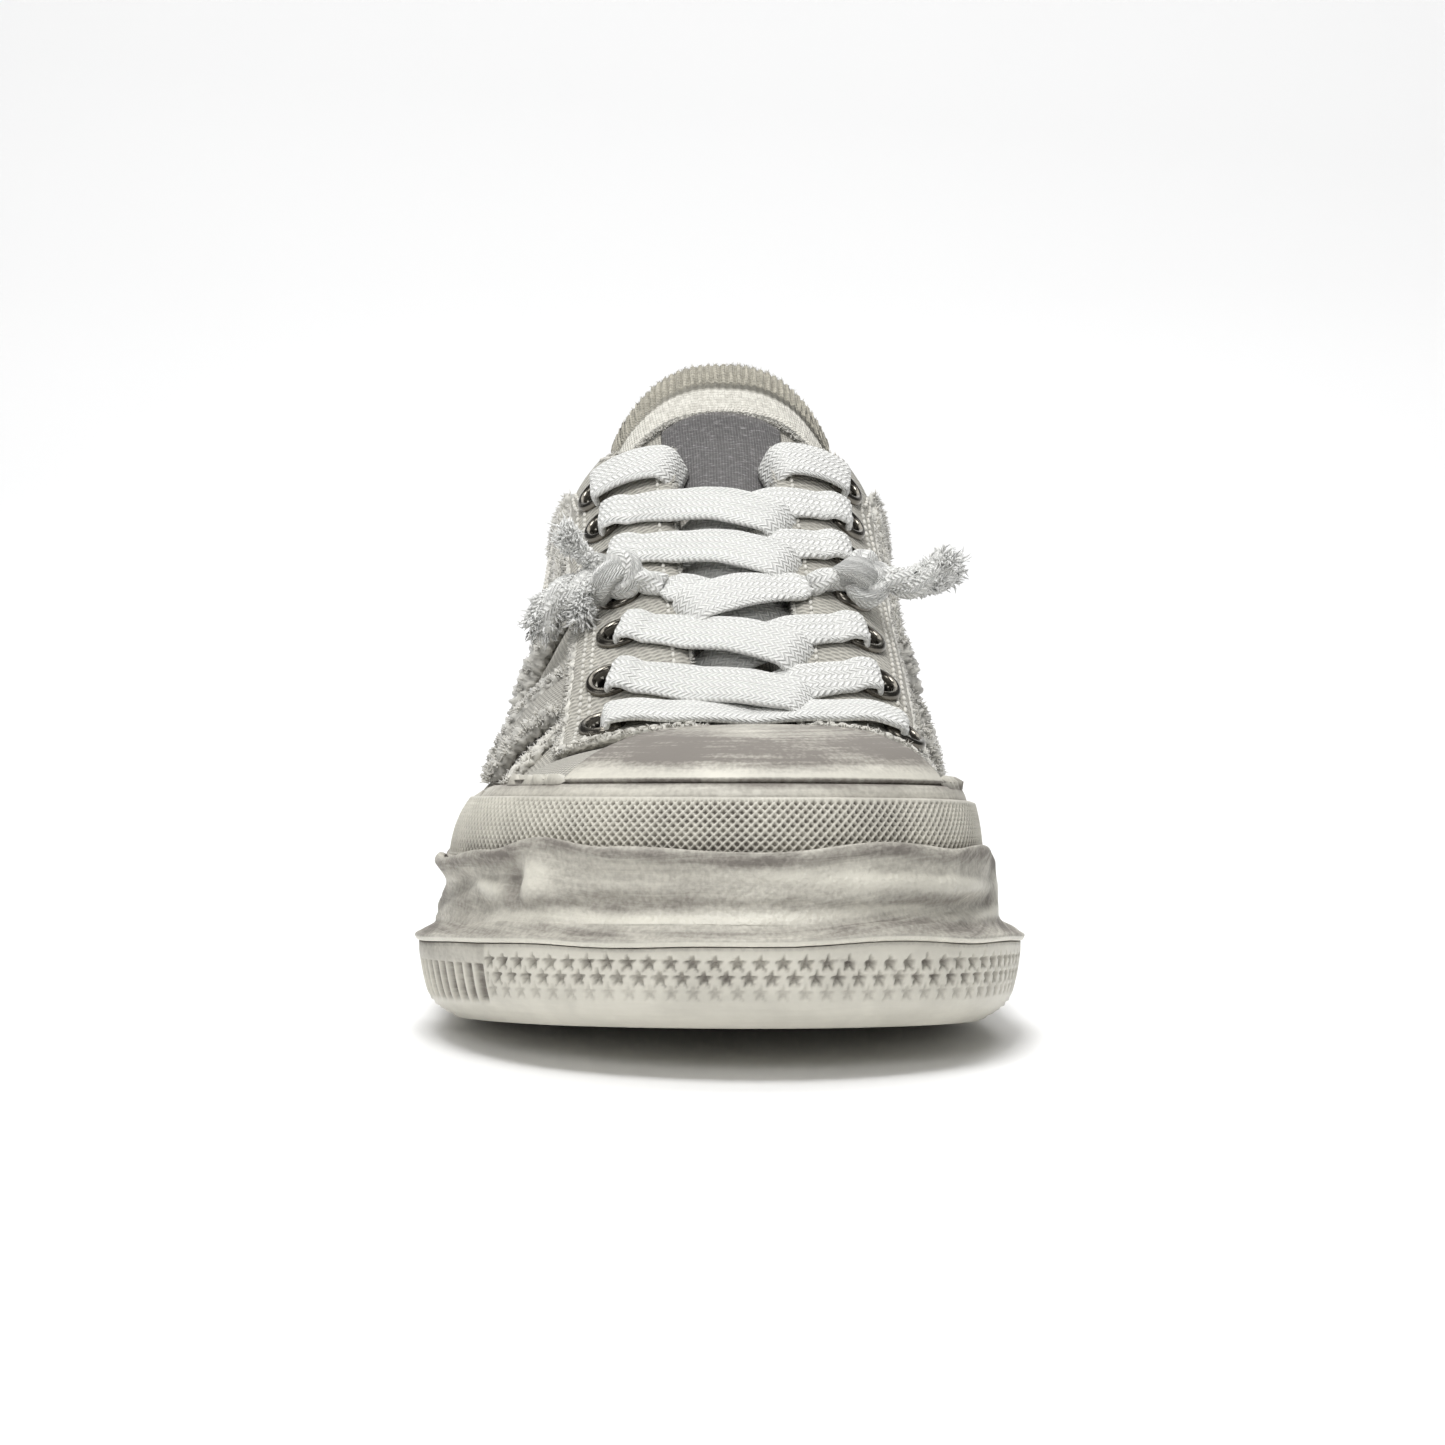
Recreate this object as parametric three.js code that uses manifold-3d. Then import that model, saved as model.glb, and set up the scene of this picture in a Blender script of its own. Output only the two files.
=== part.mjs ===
// Worn canvas low-top sneaker, right shoe, on a thick sole that looks half melted.
// Millimetres, +Z up, toe towards -Y, inner (big toe) side towards +X.
// The origin is on the floor, under the middle of the box that the shoe fills.
import * as THREE from "three";
import { mergeVertices } from "three/addons/utils/BufferGeometryUtils.js";
import Module from "manifold-3d";

const wasm = await Module();
wasm.setup();

// Driving dimensions
const LENGTH = 306; // outsole, from the back of the heel to the toe tip
const TOE_SPRING = 10; // how far the toe tip stands off the floor
const SPRING_START = 200; // from the heel, where the sole begins to curve up
const SPRING_STRAIGHT = 232; // from the heel, where it goes on straight up to the toe tip
const ARCH_RISE = 2.5; // hollow under the waist
const ARCH_MIDDLE = 118;
const ARCH_HALF_LENGTH = 42;
const OUTSOLE_HEIGHT = 15;
const PLATE_HEIGHT = 31; // top of the midsole inside the shoe
const WALL = 2.2; // canvas and lining together
const GAP = 0.55; // between curved pieces that touch
const FLAT_GAP = 0.3; // between flat pieces that touch
const MERGE = 1e-3; // corners of a mesh that are nearer than this are one
const OVERLAY = 1.4; // a canvas patch or eyestay
const FOXING_TOP = 43.5;
const FOXING_THICK = 1.9;
const FOXING_LEDGE = 1.9; // how far the foxing's rib stands out behind the toe bumper
const BUMPER_TOP = 41;
const BUMPER_THICK = 1.8;
const BUMPER_LEAN = 0.9; // thinner at its top by this
const CAP_THICK = 1.5;
const INSOLE_THICK = 4;
const TONGUE_THICK = 3.4;
const LABEL_THICK = 0.9;
const HEEL_TAB_RISE = 9; // the collar's back above its sides
const EYELET_HOLE = 2.5; // radius
const EYELET_RIM = 4.9; // radius
const EYELET_CLEARANCE = 0.6;
const LACE_WIDTH = 10;
const LACE_THICK = 1.5;
const KNOT_RADIUS = 3.5;
const KNOT_TUBE = 1.5; // radius
const LACE_END = 5; // diameter of a free end

// Around the shoe: heel, outer side, toe, inner side. Each row is a half plane that stands on the spine
// at the distance `at` from the heel and faces `heading` degrees from the toe (-90 is the outer side).
// `sole` and `upper` are the reach of the outsole and of the upper's foot from the spine, and `square` is how
// square the last's section is, where 2 is an ellipse.
const AROUND = [
  { at: 47, heading: -180, sole: 47, upper: 38.5, square: 2.6 },
  { at: 47, heading: -135, sole: 47, upper: 38.5, square: 2.6 },
  { at: 47, heading: -90, sole: 46.5, upper: 38, square: 2.6 },
  { at: 90, heading: -90, sole: 46, upper: 38, square: 2.6 },
  { at: 130, heading: -90, sole: 48.5, upper: 40.5, square: 2.7 },
  { at: 170, heading: -90, sole: 55, upper: 45, square: 2.4 },
  { at: 205, heading: -90, sole: 61.5, upper: 51, square: 2.5 },
  { at: 232, heading: -90, sole: 65, upper: 54, square: 2.4 },
  { at: 232, heading: -60, sole: 68, upper: 56.3, square: 2.5 },
  { at: 232, heading: -30, sole: 72, upper: 59.5, square: 2.7 },
  { at: 232, heading: 0, sole: 73.7, upper: 61, square: 2.8 },
  { at: 232, heading: 30, sole: 69, upper: 56, square: 2.9 },
  { at: 232, heading: 60, sole: 57, upper: 44, square: 3.2 },
  { at: 232, heading: 90, sole: 49, upper: 35.8, square: 3.4 },
  { at: 205, heading: 90, sole: 48.5, upper: 36.5, square: 3.3 },
  { at: 170, heading: 90, sole: 46, upper: 37, square: 3 },
  { at: 130, heading: 90, sole: 45, upper: 37.5, square: 3.1 },
  { at: 90, heading: 90, sole: 45.5, upper: 37.5, square: 2.6 },
  { at: 47, heading: 90, sole: 46.5, upper: 38, square: 2.6 },
  { at: 47, heading: 135, sole: 47, upper: 38.5, square: 2.6 },
];

// Along the spine: its swing to the inner side, the height of the last's ridge, the height of the collar's
// edge and half the width of the throat. Behind the ankle the collar cuts the last, not the throat.
const SPINE = [
  { at: 47, swing: 0, ridge: 150, collar: 96, throat: 0.01 },
  { at: 90, swing: 0, ridge: 140, collar: 90, throat: 0.01 },
  { at: 105, swing: 0, ridge: 130, collar: 96, throat: 3 },
  { at: 118, swing: 0, ridge: 119, collar: 107, throat: 8 },
  { at: 135, swing: 0.4, ridge: 108.5, collar: 108.5, throat: 9.5 },
  { at: 157, swing: 1.6, ridge: 96, collar: 156, throat: 10 },
  { at: 180, swing: 3.2, ridge: 83, collar: 190, throat: 10.3 },
  { at: 205, swing: 5, ridge: 69, collar: 200, throat: 10 },
  { at: 222, swing: 6.3, ridge: 58, collar: 200, throat: 9 },
  { at: 232, swing: 7, ridge: 54.5, collar: 200, throat: 8.5 },
];

// Folds of the melted midsole: where they are around the shoe (in rows of AROUND), how wide they are,
// and how far each lifts the top lip, swells the wall and lifts the bottom flange.
const FOLDS = [
  { row: 0.2, width: 0.9, lip: 1.6, swell: 1.2, flange: 0.9 },
  { row: 1.4, width: 0.7, lip: -1.2, swell: -0.9, flange: -0.4 },
  { row: 2.5, width: 0.8, lip: 1.8, swell: 1.4, flange: 1.1 },
  { row: 3.4, width: 0.7, lip: -1, swell: -1.1, flange: -0.3 },
  { row: 4.3, width: 0.8, lip: 1.5, swell: 1.3, flange: 1 },
  { row: 5.2, width: 0.6, lip: -1.3, swell: -1, flange: -0.4 },
  { row: 6.1, width: 0.5, lip: 0.6, swell: 0.8, flange: 0.4 },
  { row: 6.8, width: 0.5, lip: -2.2, swell: -1.2, flange: -0.4 },
  { row: 7.6, width: 0.6, lip: -1.7, swell: 0.4, flange: -0.3 },
  { row: 8.75, width: 0.45, lip: 2.4, swell: 1.2, flange: 0.2 },
  { row: 9.3, width: 0.5, lip: 0.7, swell: -0.4, flange: -0.4 },
  { row: 10, width: 0.5, lip: -0.4, swell: 0.5, flange: -0.1 },
  { row: 10.7, width: 0.6, lip: 1.5, swell: 0.9, flange: 0.9 },
  { row: 11.6, width: 0.5, lip: 0.9, swell: -0.5, flange: 0.2 },
  { row: 12.3, width: 0.5, lip: -1.7, swell: -1.3, flange: -0.2 },
  { row: 13.2, width: 0.6, lip: 1, swell: 1.1, flange: -0.4 },
  { row: 14.3, width: 0.7, lip: -1.1, swell: -0.8, flange: 0.8 },
  { row: 15.5, width: 0.8, lip: 1.7, swell: 1.3, flange: -0.3 },
  { row: 16.6, width: 0.7, lip: -1.1, swell: -1, flange: 0.9 },
  { row: 17.7, width: 0.7, lip: 1.6, swell: 1.2, flange: 0.3 },
  { row: 18.9, width: 0.8, lip: -1.2, swell: -0.8, flange: -0.2 },
];

// Eyelet pairs from the toe up: distance from the heel, and reach from the spine on each side.
const EYELETS = [
  { at: 223, outer: 28.9, inner: 28.5 },
  { at: 209, outer: 26.8, inner: 25.2 },
  { at: 194.5, outer: 24, inner: 23.8 },
  { at: 180, outer: 22.8, inner: 22.6 },
  { at: 165.5, outer: 23.8, inner: 23 },
  { at: 151, outer: 24.6, inner: 24 },
  { at: 137, outer: 25.6, inner: 24.6 },
];
const KNOT_ROW = 3; // index of the pair that the knots sit on
const SIDES = [
  { name: "outer", sign: -1 },
  { name: "inner", sign: 1 },
];

// Smooth curve through a table's column that never overshoots its rows.
function curveThrough(xs, ys) {
  const last = xs.length - 1;
  const chord = xs.slice(1).map((x, i) => (ys[i + 1] - ys[i]) / (x - xs[i]));
  const slope = xs.map((_, i) => {
    if (i === 0) return chord[0];
    if (i === last) return chord[last - 1];
    const [before, after] = [chord[i - 1], chord[i]];
    return before * after <= 0 ? 0 : (2 * before * after) / (before + after);
  });
  return (x) => {
    const clamped = Math.min(Math.max(x, xs[0]), xs[last]);
    let i = 0;
    while (i < last - 1 && clamped > xs[i + 1]) i += 1;
    const width = xs[i + 1] - xs[i];
    const t = (clamped - xs[i]) / width;
    const u = 1 - t;
    return (
      ys[i] * u * u * (1 + 2 * t) +
      ys[i + 1] * t * t * (1 + 2 * u) +
      width * slope[i] * t * u * u -
      width * slope[i + 1] * t * t * u
    );
  };
}

const ROWS = AROUND.length;
const WRAP = 6; // rows repeated at both ends, so that the perimeter's curves close
const wrappedRows = Array.from({ length: ROWS + 2 * WRAP + 1 }, (_, i) => i - WRAP);
const rowAt = (i) => AROUND[(i + ROWS) % ROWS];
const aroundColumn = (key) => curveThrough(wrappedRows, wrappedRows.map((i) => rowAt(i)[key]));
const around = {
  at: aroundColumn("at"),
  sole: aroundColumn("sole"),
  upper: aroundColumn("upper"),
  square: aroundColumn("square"),
  heading: curveThrough(
    wrappedRows,
    wrappedRows.map((i) => rowAt(i).heading + 360 * Math.floor(i / ROWS)),
  ),
};
const spineColumn = (key) => curveThrough(SPINE.map((r) => r.at), SPINE.map((r) => r[key]));
const spine = {
  swing: spineColumn("swing"),
  ridge: spineColumn("ridge"),
  collar: spineColumn("collar"),
  throat: spineColumn("throat"),
};

// A hump that is 1 in the middle and fades to 0 at one width on either side.
const hump = (x) => (Math.abs(x) < 1 ? (1 + Math.cos(Math.PI * x)) / 2 : 0);

// Distance between two places around the shoe, in rows, the short way.
const rowsApart = (a, b) => ((((a - b) % ROWS) + 1.5 * ROWS) % ROWS) - ROWS / 2;

function fold(row, key) {
  return FOLDS.reduce((sum, f) => sum + f[key] * hump(rowsApart(row, f.row) / f.width), 0);
}

// The sole's rise towards the toe: a curve, then a straight slope.
function toeLift(at) {
  const bend = SPRING_STRAIGHT - SPRING_START;
  const slope = TOE_SPRING / (bend / 2 + LENGTH - SPRING_STRAIGHT);
  if (at > SPRING_STRAIGHT) return slope * (bend / 2 + at - SPRING_STRAIGHT);
  return (slope / bend / 2) * Math.max(0, at - SPRING_START) ** 2;
}

const archLift = (at) => ARCH_RISE * hump((at - ARCH_MIDDLE) / ARCH_HALF_LENGTH);

// The point at a reach from the spine and a height over the flat sole, with the toe's rise added.
function place(row, reach, height) {
  const heading = THREE.MathUtils.degToRad(around.heading(row));
  const spineAt = around.at(row);
  const at = spineAt + reach * Math.cos(heading);
  const x = spine.swing(spineAt) + reach * Math.sin(heading);
  return new THREE.Vector3(x, LENGTH / 2 - at, height + toeLift(at));
}

// The last's section at a row: a squared ellipse from the sole's plate up to the ridge.
function section(row) {
  const rise = spine.ridge(around.at(row)) - PLATE_HEIGHT;
  return { reach: around.upper(row), rise, square: around.square(row) };
}

// A point of the last, `turn` radians up the wall from the plate towards the ridge.
function lastPoint(row, turn) {
  const { reach, rise, square } = section(row);
  const scale = (Math.abs(Math.cos(turn)) ** square + Math.sin(turn) ** square) ** (-1 / square);
  return place(row, reach * Math.cos(turn) * scale, PLATE_HEIGHT + rise * Math.sin(turn) * scale);
}

const ROW_STEP = 0.01;
const TURN_STEP = 0.004;
function lastNormal(row, turn) {
  const alongRow = lastPoint(row + ROW_STEP, turn).sub(lastPoint(row - ROW_STEP, turn));
  const upWall = lastPoint(row, turn + TURN_STEP).sub(lastPoint(row, Math.max(0, turn - TURN_STEP)));
  return alongRow.cross(upWall).normalize();
}

const offLast = (row, turn, out) => lastPoint(row, turn).addScaledVector(lastNormal(row, turn), out);

// How far up the wall a given reach from the spine, or a given height, is.
function turnAtReach(row, reach) {
  const s = section(row);
  const part = Math.min(reach / s.reach, 1);
  return Math.atan2((1 - part ** s.square) ** (1 / s.square), part);
}

function turnAtHeight(row, height) {
  const s = section(row);
  const part = Math.min(Math.max((height - PLATE_HEIGHT) / s.rise, 0), 1);
  return Math.atan2(part, (1 - part ** s.square) ** (1 / s.square));
}

// The upper's edge: the throat's slot in front, the collar behind, higher at the back of the heel.
function rimTurn(row) {
  const at = around.at(row);
  const heading = Math.abs(((around.heading(row) + 540) % 360) - 180);
  const back = Math.max(0, heading - 90) / 90;
  const collar = spine.collar(at) + HEEL_TAB_RISE * back * back * (3 - 2 * back);
  return Math.min(turnAtReach(row, spine.throat(at)), turnAtHeight(row, collar));
}

// The rows of the two straight sides, from the heel to the ball, and how often a search halves them.
const OUTER_ROWS = [2, 7];
const INNER_ROWS = [18, 13];
const HALVINGS = 40;

// The row of a side (-1 outer, 1 inner) at a distance from the heel.
function sideRow(at, sign) {
  let [back, front] = sign < 0 ? OUTER_ROWS : INNER_ROWS;
  for (let i = 0; i < HALVINGS; i += 1) {
    const middle = (back + front) / 2;
    if (around.at(middle) < at) back = middle;
    else front = middle;
  }
  return (back + front) / 2;
}

// A point over the instep, `across` from the spine (negative on the outer side), and its normal.
function instep(at, across, out) {
  const row = sideRow(at, across < 0 ? -1 : 1);
  const turn = turnAtReach(row, Math.abs(across));
  const normal = lastNormal(row, turn);
  return { point: lastPoint(row, turn).addScaledVector(normal, out), normal };
}

// Triangles of a closed skin: rings[i][j], each ring closed or with its ends on an axis.
function skin(rings, { ringsClosed, aroundClosed }) {
  const triangles = [];
  const across = rings[0].length;
  const along = rings.length;
  const quad = (a, b, c, d) => triangles.push(a, b, c, a, c, d);
  for (let i = 0; i < (aroundClosed ? along : along - 1); i += 1) {
    const ring = rings[i];
    const next = rings[(i + 1) % along];
    for (let j = 0; j < (ringsClosed ? across : across - 1); j += 1) {
      const k = (j + 1) % across;
      quad(ring[j], next[j], next[k], ring[k]);
    }
  }
  return triangles;
}

// Triangles with their shared corners merged, without the ones that close up to a line.
function geometryOf(triangles) {
  const geometry = new THREE.BufferGeometry().setFromPoints(triangles);
  const merged = mergeVertices(geometry, MERGE);
  const index = [];
  const all = merged.index.array;
  for (let i = 0; i < all.length; i += 3) {
    const [a, b, c] = [all[i], all[i + 1], all[i + 2]];
    if (a !== b && b !== c && c !== a) index.push(a, b, c);
  }
  merged.setIndex(index);
  return merged;
}

function solidOf(geometry) {
  return new wasm.Manifold(
    new wasm.Mesh({
      numProp: 3,
      vertProperties: new Float32Array(geometry.attributes.position.array),
      triVerts: new Uint32Array(geometry.index.array),
    }),
  );
}

// The geometry of a solid.
function meshGeometry(solid) {
  const mesh = solid.getMesh();
  const geometry = new THREE.BufferGeometry();
  geometry.setAttribute("position", new THREE.BufferAttribute(mesh.vertProperties, 3));
  geometry.setIndex(new THREE.BufferAttribute(mesh.triVerts, 1));
  return geometry;
}

// The geometry of a closed skin, with its faces turned out where they point in.
function closedGeometry(triangles) {
  const geometry = geometryOf(triangles);
  if (solidOf(geometry).volume() > 0) return geometry;
  const turned = geometry.index.array.slice().reverse();
  geometry.setIndex(new THREE.BufferAttribute(turned, 1));
  return geometry;
}

// A wall between an outer and an inner grid of points, rows along, columns across.
function wallGeometry(outer, inner, aroundClosed = false) {
  const rings = outer.map((line, i) => [...line, ...inner[i].slice().reverse()]);
  const triangles = skin(rings, { ringsClosed: true, aroundClosed });
  if (!aroundClosed) {
    const end = outer.length - 1;
    for (let j = 0; j < outer[0].length - 1; j += 1) {
      triangles.push(outer[0][j], outer[0][j + 1], inner[0][j + 1]);
      triangles.push(outer[0][j], inner[0][j + 1], inner[0][j]);
      triangles.push(outer[end][j], inner[end][j + 1], outer[end][j + 1]);
      triangles.push(outer[end][j], inner[end][j], inner[end][j + 1]);
    }
  }
  return closedGeometry(triangles);
}

// A patch of the last between two turns up the wall, as a wall between two offsets from the last.
function patchGeometry({ rows, low, high, steps, inside, outside, closed = false }) {
  const grid = (out) =>
    rows.map((row) => {
      const [from, to] = [low(row), high(row)];
      return Array.from({ length: steps + 1 }, (_, j) => {
        const share = j / steps;
        return offLast(row, from + (to - from) * share, out(share));
      });
    });
  const asFunction = (value) => (typeof value === "function" ? value : () => value);
  return wallGeometry(grid(asFunction(outside)), grid(asFunction(inside)), closed);
}

// A solid layer of the sole: profile(row) lists reach and height from the spine, round the rim, to the spine.
function layerGeometry(rows, profile) {
  const rings = rows.map((row) => profile(row).map(({ reach, height }) => place(row, reach, height)));
  return closedGeometry(skin(rings, { ringsClosed: false, aroundClosed: true }));
}

// A flat ribbon along points with normals.
function ribbonGeometry(path, width, thick) {
  const edges = path.map(({ point, normal }, i) => {
    const before = path[Math.max(0, i - 1)].point;
    const after = path[Math.min(path.length - 1, i + 1)].point;
    const side = after.clone().sub(before).cross(normal).normalize();
    const flat = (share, lift) =>
      point.clone().addScaledVector(side, share * width).addScaledVector(normal, lift);
    return {
      top: [flat(-0.5, thick / 2), flat(0.5, thick / 2)],
      under: [flat(-0.5, -thick / 2), flat(0.5, -thick / 2)],
    };
  });
  return wallGeometry(edges.map((e) => e.top), edges.map((e) => e.under));
}

const shoe = new THREE.Group();

const material = (color, roughness, metalness = 0) =>
  new THREE.MeshStandardMaterial({ color, roughness, metalness });
const rubber = material(0xd9d5c6, 0.6);
const dirtyRubber = material(0xbdb8ac, 0.65);
const canvas = material(0xc6c2b7, 0.95);
const greyCanvas = material(0x9b9893, 0.9);
const creamCanvas = material(0xd8d3c3, 0.95);
const labelCloth = material(0x6f6b6c, 0.95);
const laceCotton = material(0xeeede6, 0.9);
const gunmetal = material(0x6d6a60, 0.3, 0.9);

function addPiece(name, geometry, finish) {
  const mesh = new THREE.Mesh(geometry, finish);
  mesh.name = name;
  shoe.add(mesh);
  return mesh;
}

// Rows round the whole shoe. The two sides have the same distances from the heel, so that the layers of the
// sole meet along the spine. Heel and toe are turned about the spine's ends in equal steps.
const HEEL_STEPS = 12;
const TOE_STEPS = 17;
const SIDE_STEPS = [
  { from: 47, to: 100, count: 3 },
  { from: 100, to: 140, count: 5 }, // where the collar climbs to the throat
  { from: 140, to: 232, count: 7 },
];
const SPINE_ENDS = [SPINE[0].at, SPINE[SPINE.length - 1].at];
const steps = (from, to, count) =>
  Array.from({ length: count }, (_, i) => from + ((to - from) * i) / count);

function rowsRound(sides) {
  const front = rowsAtHeadings(-90, 90, TOE_STEPS, OUTER_ROWS[1], INNER_ROWS[1]);
  const back = rowsAtHeadings(90, 270, HEEL_STEPS, INNER_ROWS[0], OUTER_ROWS[0] + ROWS);
  const outer = sides.map((at) => sideRow(at, -1));
  const inner = sides.map((at) => sideRow(at, 1)).reverse();
  return [...outer, ...front.slice(1, -1), ...inner, ...back.slice(1, -1)];
}

// Rows between two, whose headings are equal steps apart.
function rowsAtHeadings(from, to, count, first, last) {
  return Array.from({ length: count + 1 }, (_, i) => {
    const heading = from + ((to - from) * i) / count;
    let [low, high] = [first, last];
    for (let k = 0; k < HALVINGS; k += 1) {
      const middle = (low + high) / 2;
      if (around.heading(middle) < heading) low = middle;
      else high = middle;
    }
    return (low + high) / 2;
  });
}

const plainSteps = SIDE_STEPS.flatMap(({ from, to, count }) => steps(from, to, count));
const plainSides = [...plainSteps, SPINE_ENDS[1]];
const shoeRows = rowsRound(plainSides);

// The shoe's rows between two rows, which may go on past the heel, with those two as ends.
const ROW_MARGIN = 0.05;
function rowsBetween(from, to) {
  const twice = [...shoeRows, ...shoeRows.map((row) => row + ROWS)];
  return [from, ...twice.filter((row) => row > from + ROW_MARGIN && row < to - ROW_MARGIN), to];
}

// Outsole: flat tread with an arch, rounded lower edge, ribs on both sides of the ball, wavy top edge.
const RIB_PITCH = 6;
const RIB_DEPTH = 0.8;
const RIB_STEPS = 4; // to each rib, of which the second and third are in its groove
const RIBS_FROM = 190; // from the heel, to the front end of the spine
const RIB_MARGIN = 3; // to the last plain step before the ribs

// Corners of the outsole's side, each in from the sole's outline.
const TREAD = { inset: 10 };
const TREAD_ROUND = { inset: 5.2, rise: 1.6 };
const RIB_FOOT = { inset: 2.2, height: 4.8 };
const RIB_HEAD = { inset: 0.7, height: 11.5 };
const OUTSOLE_EDGE = { inset: 0.5, band: 1.6, clear: 0.1 };

// Distances along the outsole's sides: plain steps, then the ribs' steps.
const ribStepCount = Math.round((SPINE_ENDS[1] - RIBS_FROM) / RIB_PITCH) * RIB_STEPS;
const ribStep = (SPINE_ENDS[1] - RIBS_FROM) / ribStepCount;
const ribSteps = [...steps(RIBS_FROM, SPINE_ENDS[1], ribStepCount), SPINE_ENDS[1]];
const isGroove = (row) => {
  const at = around.at(row);
  const step = Math.round((at - RIBS_FROM) / ribStep) % RIB_STEPS;
  return at > RIBS_FROM && at < SPINE_ENDS[1] - ribStep / 2 && (step === 1 || step === 2);
};

function addOutsole() {
  const sides = [...plainSides.filter((at) => at < RIBS_FROM - RIB_MARGIN), ...ribSteps];
  const profile = (row) => {
    const reach = around.sole(row);
    const floor = archLift(around.at(row));
    const cut = isGroove(row) ? RIB_DEPTH : 0;
    const edge = OUTSOLE_HEIGHT - FLAT_GAP - OUTSOLE_EDGE.clear + fold(row, "flange");
    return [
      { reach: 0, height: floor },
      { reach: reach - TREAD.inset, height: floor },
      { reach: reach - TREAD_ROUND.inset, height: floor + TREAD_ROUND.rise },
      { reach: reach - RIB_FOOT.inset - cut, height: RIB_FOOT.height },
      { reach: reach - RIB_HEAD.inset - cut, height: RIB_HEAD.height },
      { reach: reach - OUTSOLE_EDGE.inset, height: edge - OUTSOLE_EDGE.band },
      { reach: reach - OUTSOLE_EDGE.inset, height: edge },
      { reach: reach - TREAD.inset, height: OUTSOLE_HEIGHT },
      { reach: 0, height: OUTSOLE_HEIGHT },
    ];
  };
  addPiece("outsole", layerGeometry(rowsRound(sides), profile), rubber);
}

// The toe bumper runs round the forefoot. Its share is 1 along it and 0 behind it.
const BUMPER_FROM = 6.45;
const BUMPER_TO = 14.2;
const BUMPER_FADE = 0.12;
const bumperShare = (row) =>
  THREE.MathUtils.smoothstep(row, BUMPER_FROM - BUMPER_FADE, BUMPER_FROM) *
  (1 - THREE.MathUtils.smoothstep(row, BUMPER_TO, BUMPER_TO + BUMPER_FADE));
const foxingOut = GAP + FOXING_THICK;
const bumperOut = foxingOut + GAP + BUMPER_THICK;
const LIP_CLEARANCE = 1;
const LIP_RISE = 1.6; // over the plate, where no fold moves it
const LIP_DROP = 0.4; // of its inner edge

// Corners of the midsole's wall, from the flange up: out from the sole's outline, up from its underside, and
// how much of each fold moves them.
const MIDSOLE_WALL = [
  { out: -0.4, up: 0, swell: 0, flange: 1, lip: 0 },
  { out: 0.3, up: 1, swell: 0, flange: 1, lip: 0 },
  { out: -1.3, up: 2, swell: 0, flange: 1, lip: 0 },
  { out: -4.2, up: 3.8, swell: 0.4, flange: 0.8, lip: 0 },
  { out: -4.4, up: 7.5, swell: 1, flange: 0, lip: 0 },
  { out: -5.7, up: 12, swell: 0.2, flange: 0, lip: 0.5 },
];
// Corners of its lip: out from the sole's outline, at least so thick, and down from the lip's top.
const MIDSOLE_LIP = [
  { out: -5.2, swell: 0.2, thick: 1.8, down: 1.3 },
  { out: -6, swell: 0, thick: 1, down: 0 },
];

// Midsole: flared flange, folded wall, wavy lip that stands up round the foxing and the bumper.
function addMidsole() {
  const profile = (row) => {
    const reach = around.sole(row);
    const [lip, swell, flange] = ["lip", "swell", "flange"].map((key) => fold(row, key));
    const bottom = OUTSOLE_HEIGHT + FLAT_GAP;
    const bumper = foxingOut + FOXING_LEDGE + (bumperOut - foxingOut - FOXING_LEDGE) * bumperShare(row);
    const inner = around.upper(row) + bumper + LIP_CLEARANCE;
    const lipTop = PLATE_HEIGHT + LIP_RISE + lip;
    const wall = MIDSOLE_WALL.map((c) => ({
      reach: reach + c.out + c.swell * swell,
      height: bottom + c.up + c.flange * flange + c.lip * lip,
    }));
    const edge = MIDSOLE_LIP.map((c) => ({
      reach: Math.max(reach + c.out + c.swell * swell, inner + c.thick),
      height: lipTop - c.down,
    }));
    return [
      { reach: 0, height: bottom },
      { reach: reach - TREAD.inset, height: bottom },
      ...wall,
      ...edge,
      { reach: inner, height: lipTop - LIP_DROP },
      { reach: inner, height: PLATE_HEIGHT },
      { reach: 0, height: PLATE_HEIGHT },
    ];
  };
  addPiece("midsole", layerGeometry(shoeRows, profile), dirtyRubber);
}

// Upper: one hollow wall from the sole's plate to the collar and throat, pierced for the eyelets.
const UPPER_COURSES = 7;
const eyeletSpots = SIDES.flatMap(({ name, sign }) =>
  EYELETS.map((pair, i) => ({
    name: `eyelet_${name}_${i + 1}`,
    side: name,
    at: pair.at,
    across: sign * pair[name],
  })),
);

const baseTurn = (height) => (row) => turnAtHeight(row, height);
const upperFoot = baseTurn(PLATE_HEIGHT + FLAT_GAP);

// The turn that stands the Z axis along a normal of the last.
const uprightOn = (normal) => new THREE.Quaternion().setFromUnitVectors(new THREE.Vector3(0, 0, 1), normal);

// A geometry turned so that its Z axis stands on the last at an eyelet.
function onEyelet(geometry, spot) {
  const { point, normal } = instep(spot.at, spot.across, 0);
  return geometry.applyQuaternion(uprightOn(normal)).translate(point.x, point.y, point.z);
}

// A geometry with its corners merged and nothing but their places kept.
function positionsOnly(geometry) {
  geometry.deleteAttribute("normal");
  geometry.deleteAttribute("uv");
  return mergeVertices(geometry, MERGE);
}

const BARREL = 0.4; // wall of an eyelet's barrel
const HOLE_SIDES = 7;
const HOLE_DEPTH = 12;
function pierced(geometry, spots) {
  const radius = EYELET_HOLE + BARREL + EYELET_CLEARANCE;
  const holes = spots.map((spot) => {
    const hole = new THREE.CylinderGeometry(radius, radius, HOLE_DEPTH, HOLE_SIDES).rotateX(Math.PI / 2);
    return solidOf(positionsOnly(onEyelet(hole, spot)));
  });
  return meshGeometry(holes.reduce((solid, hole) => solid.subtract(hole), solidOf(geometry)));
}

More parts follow.
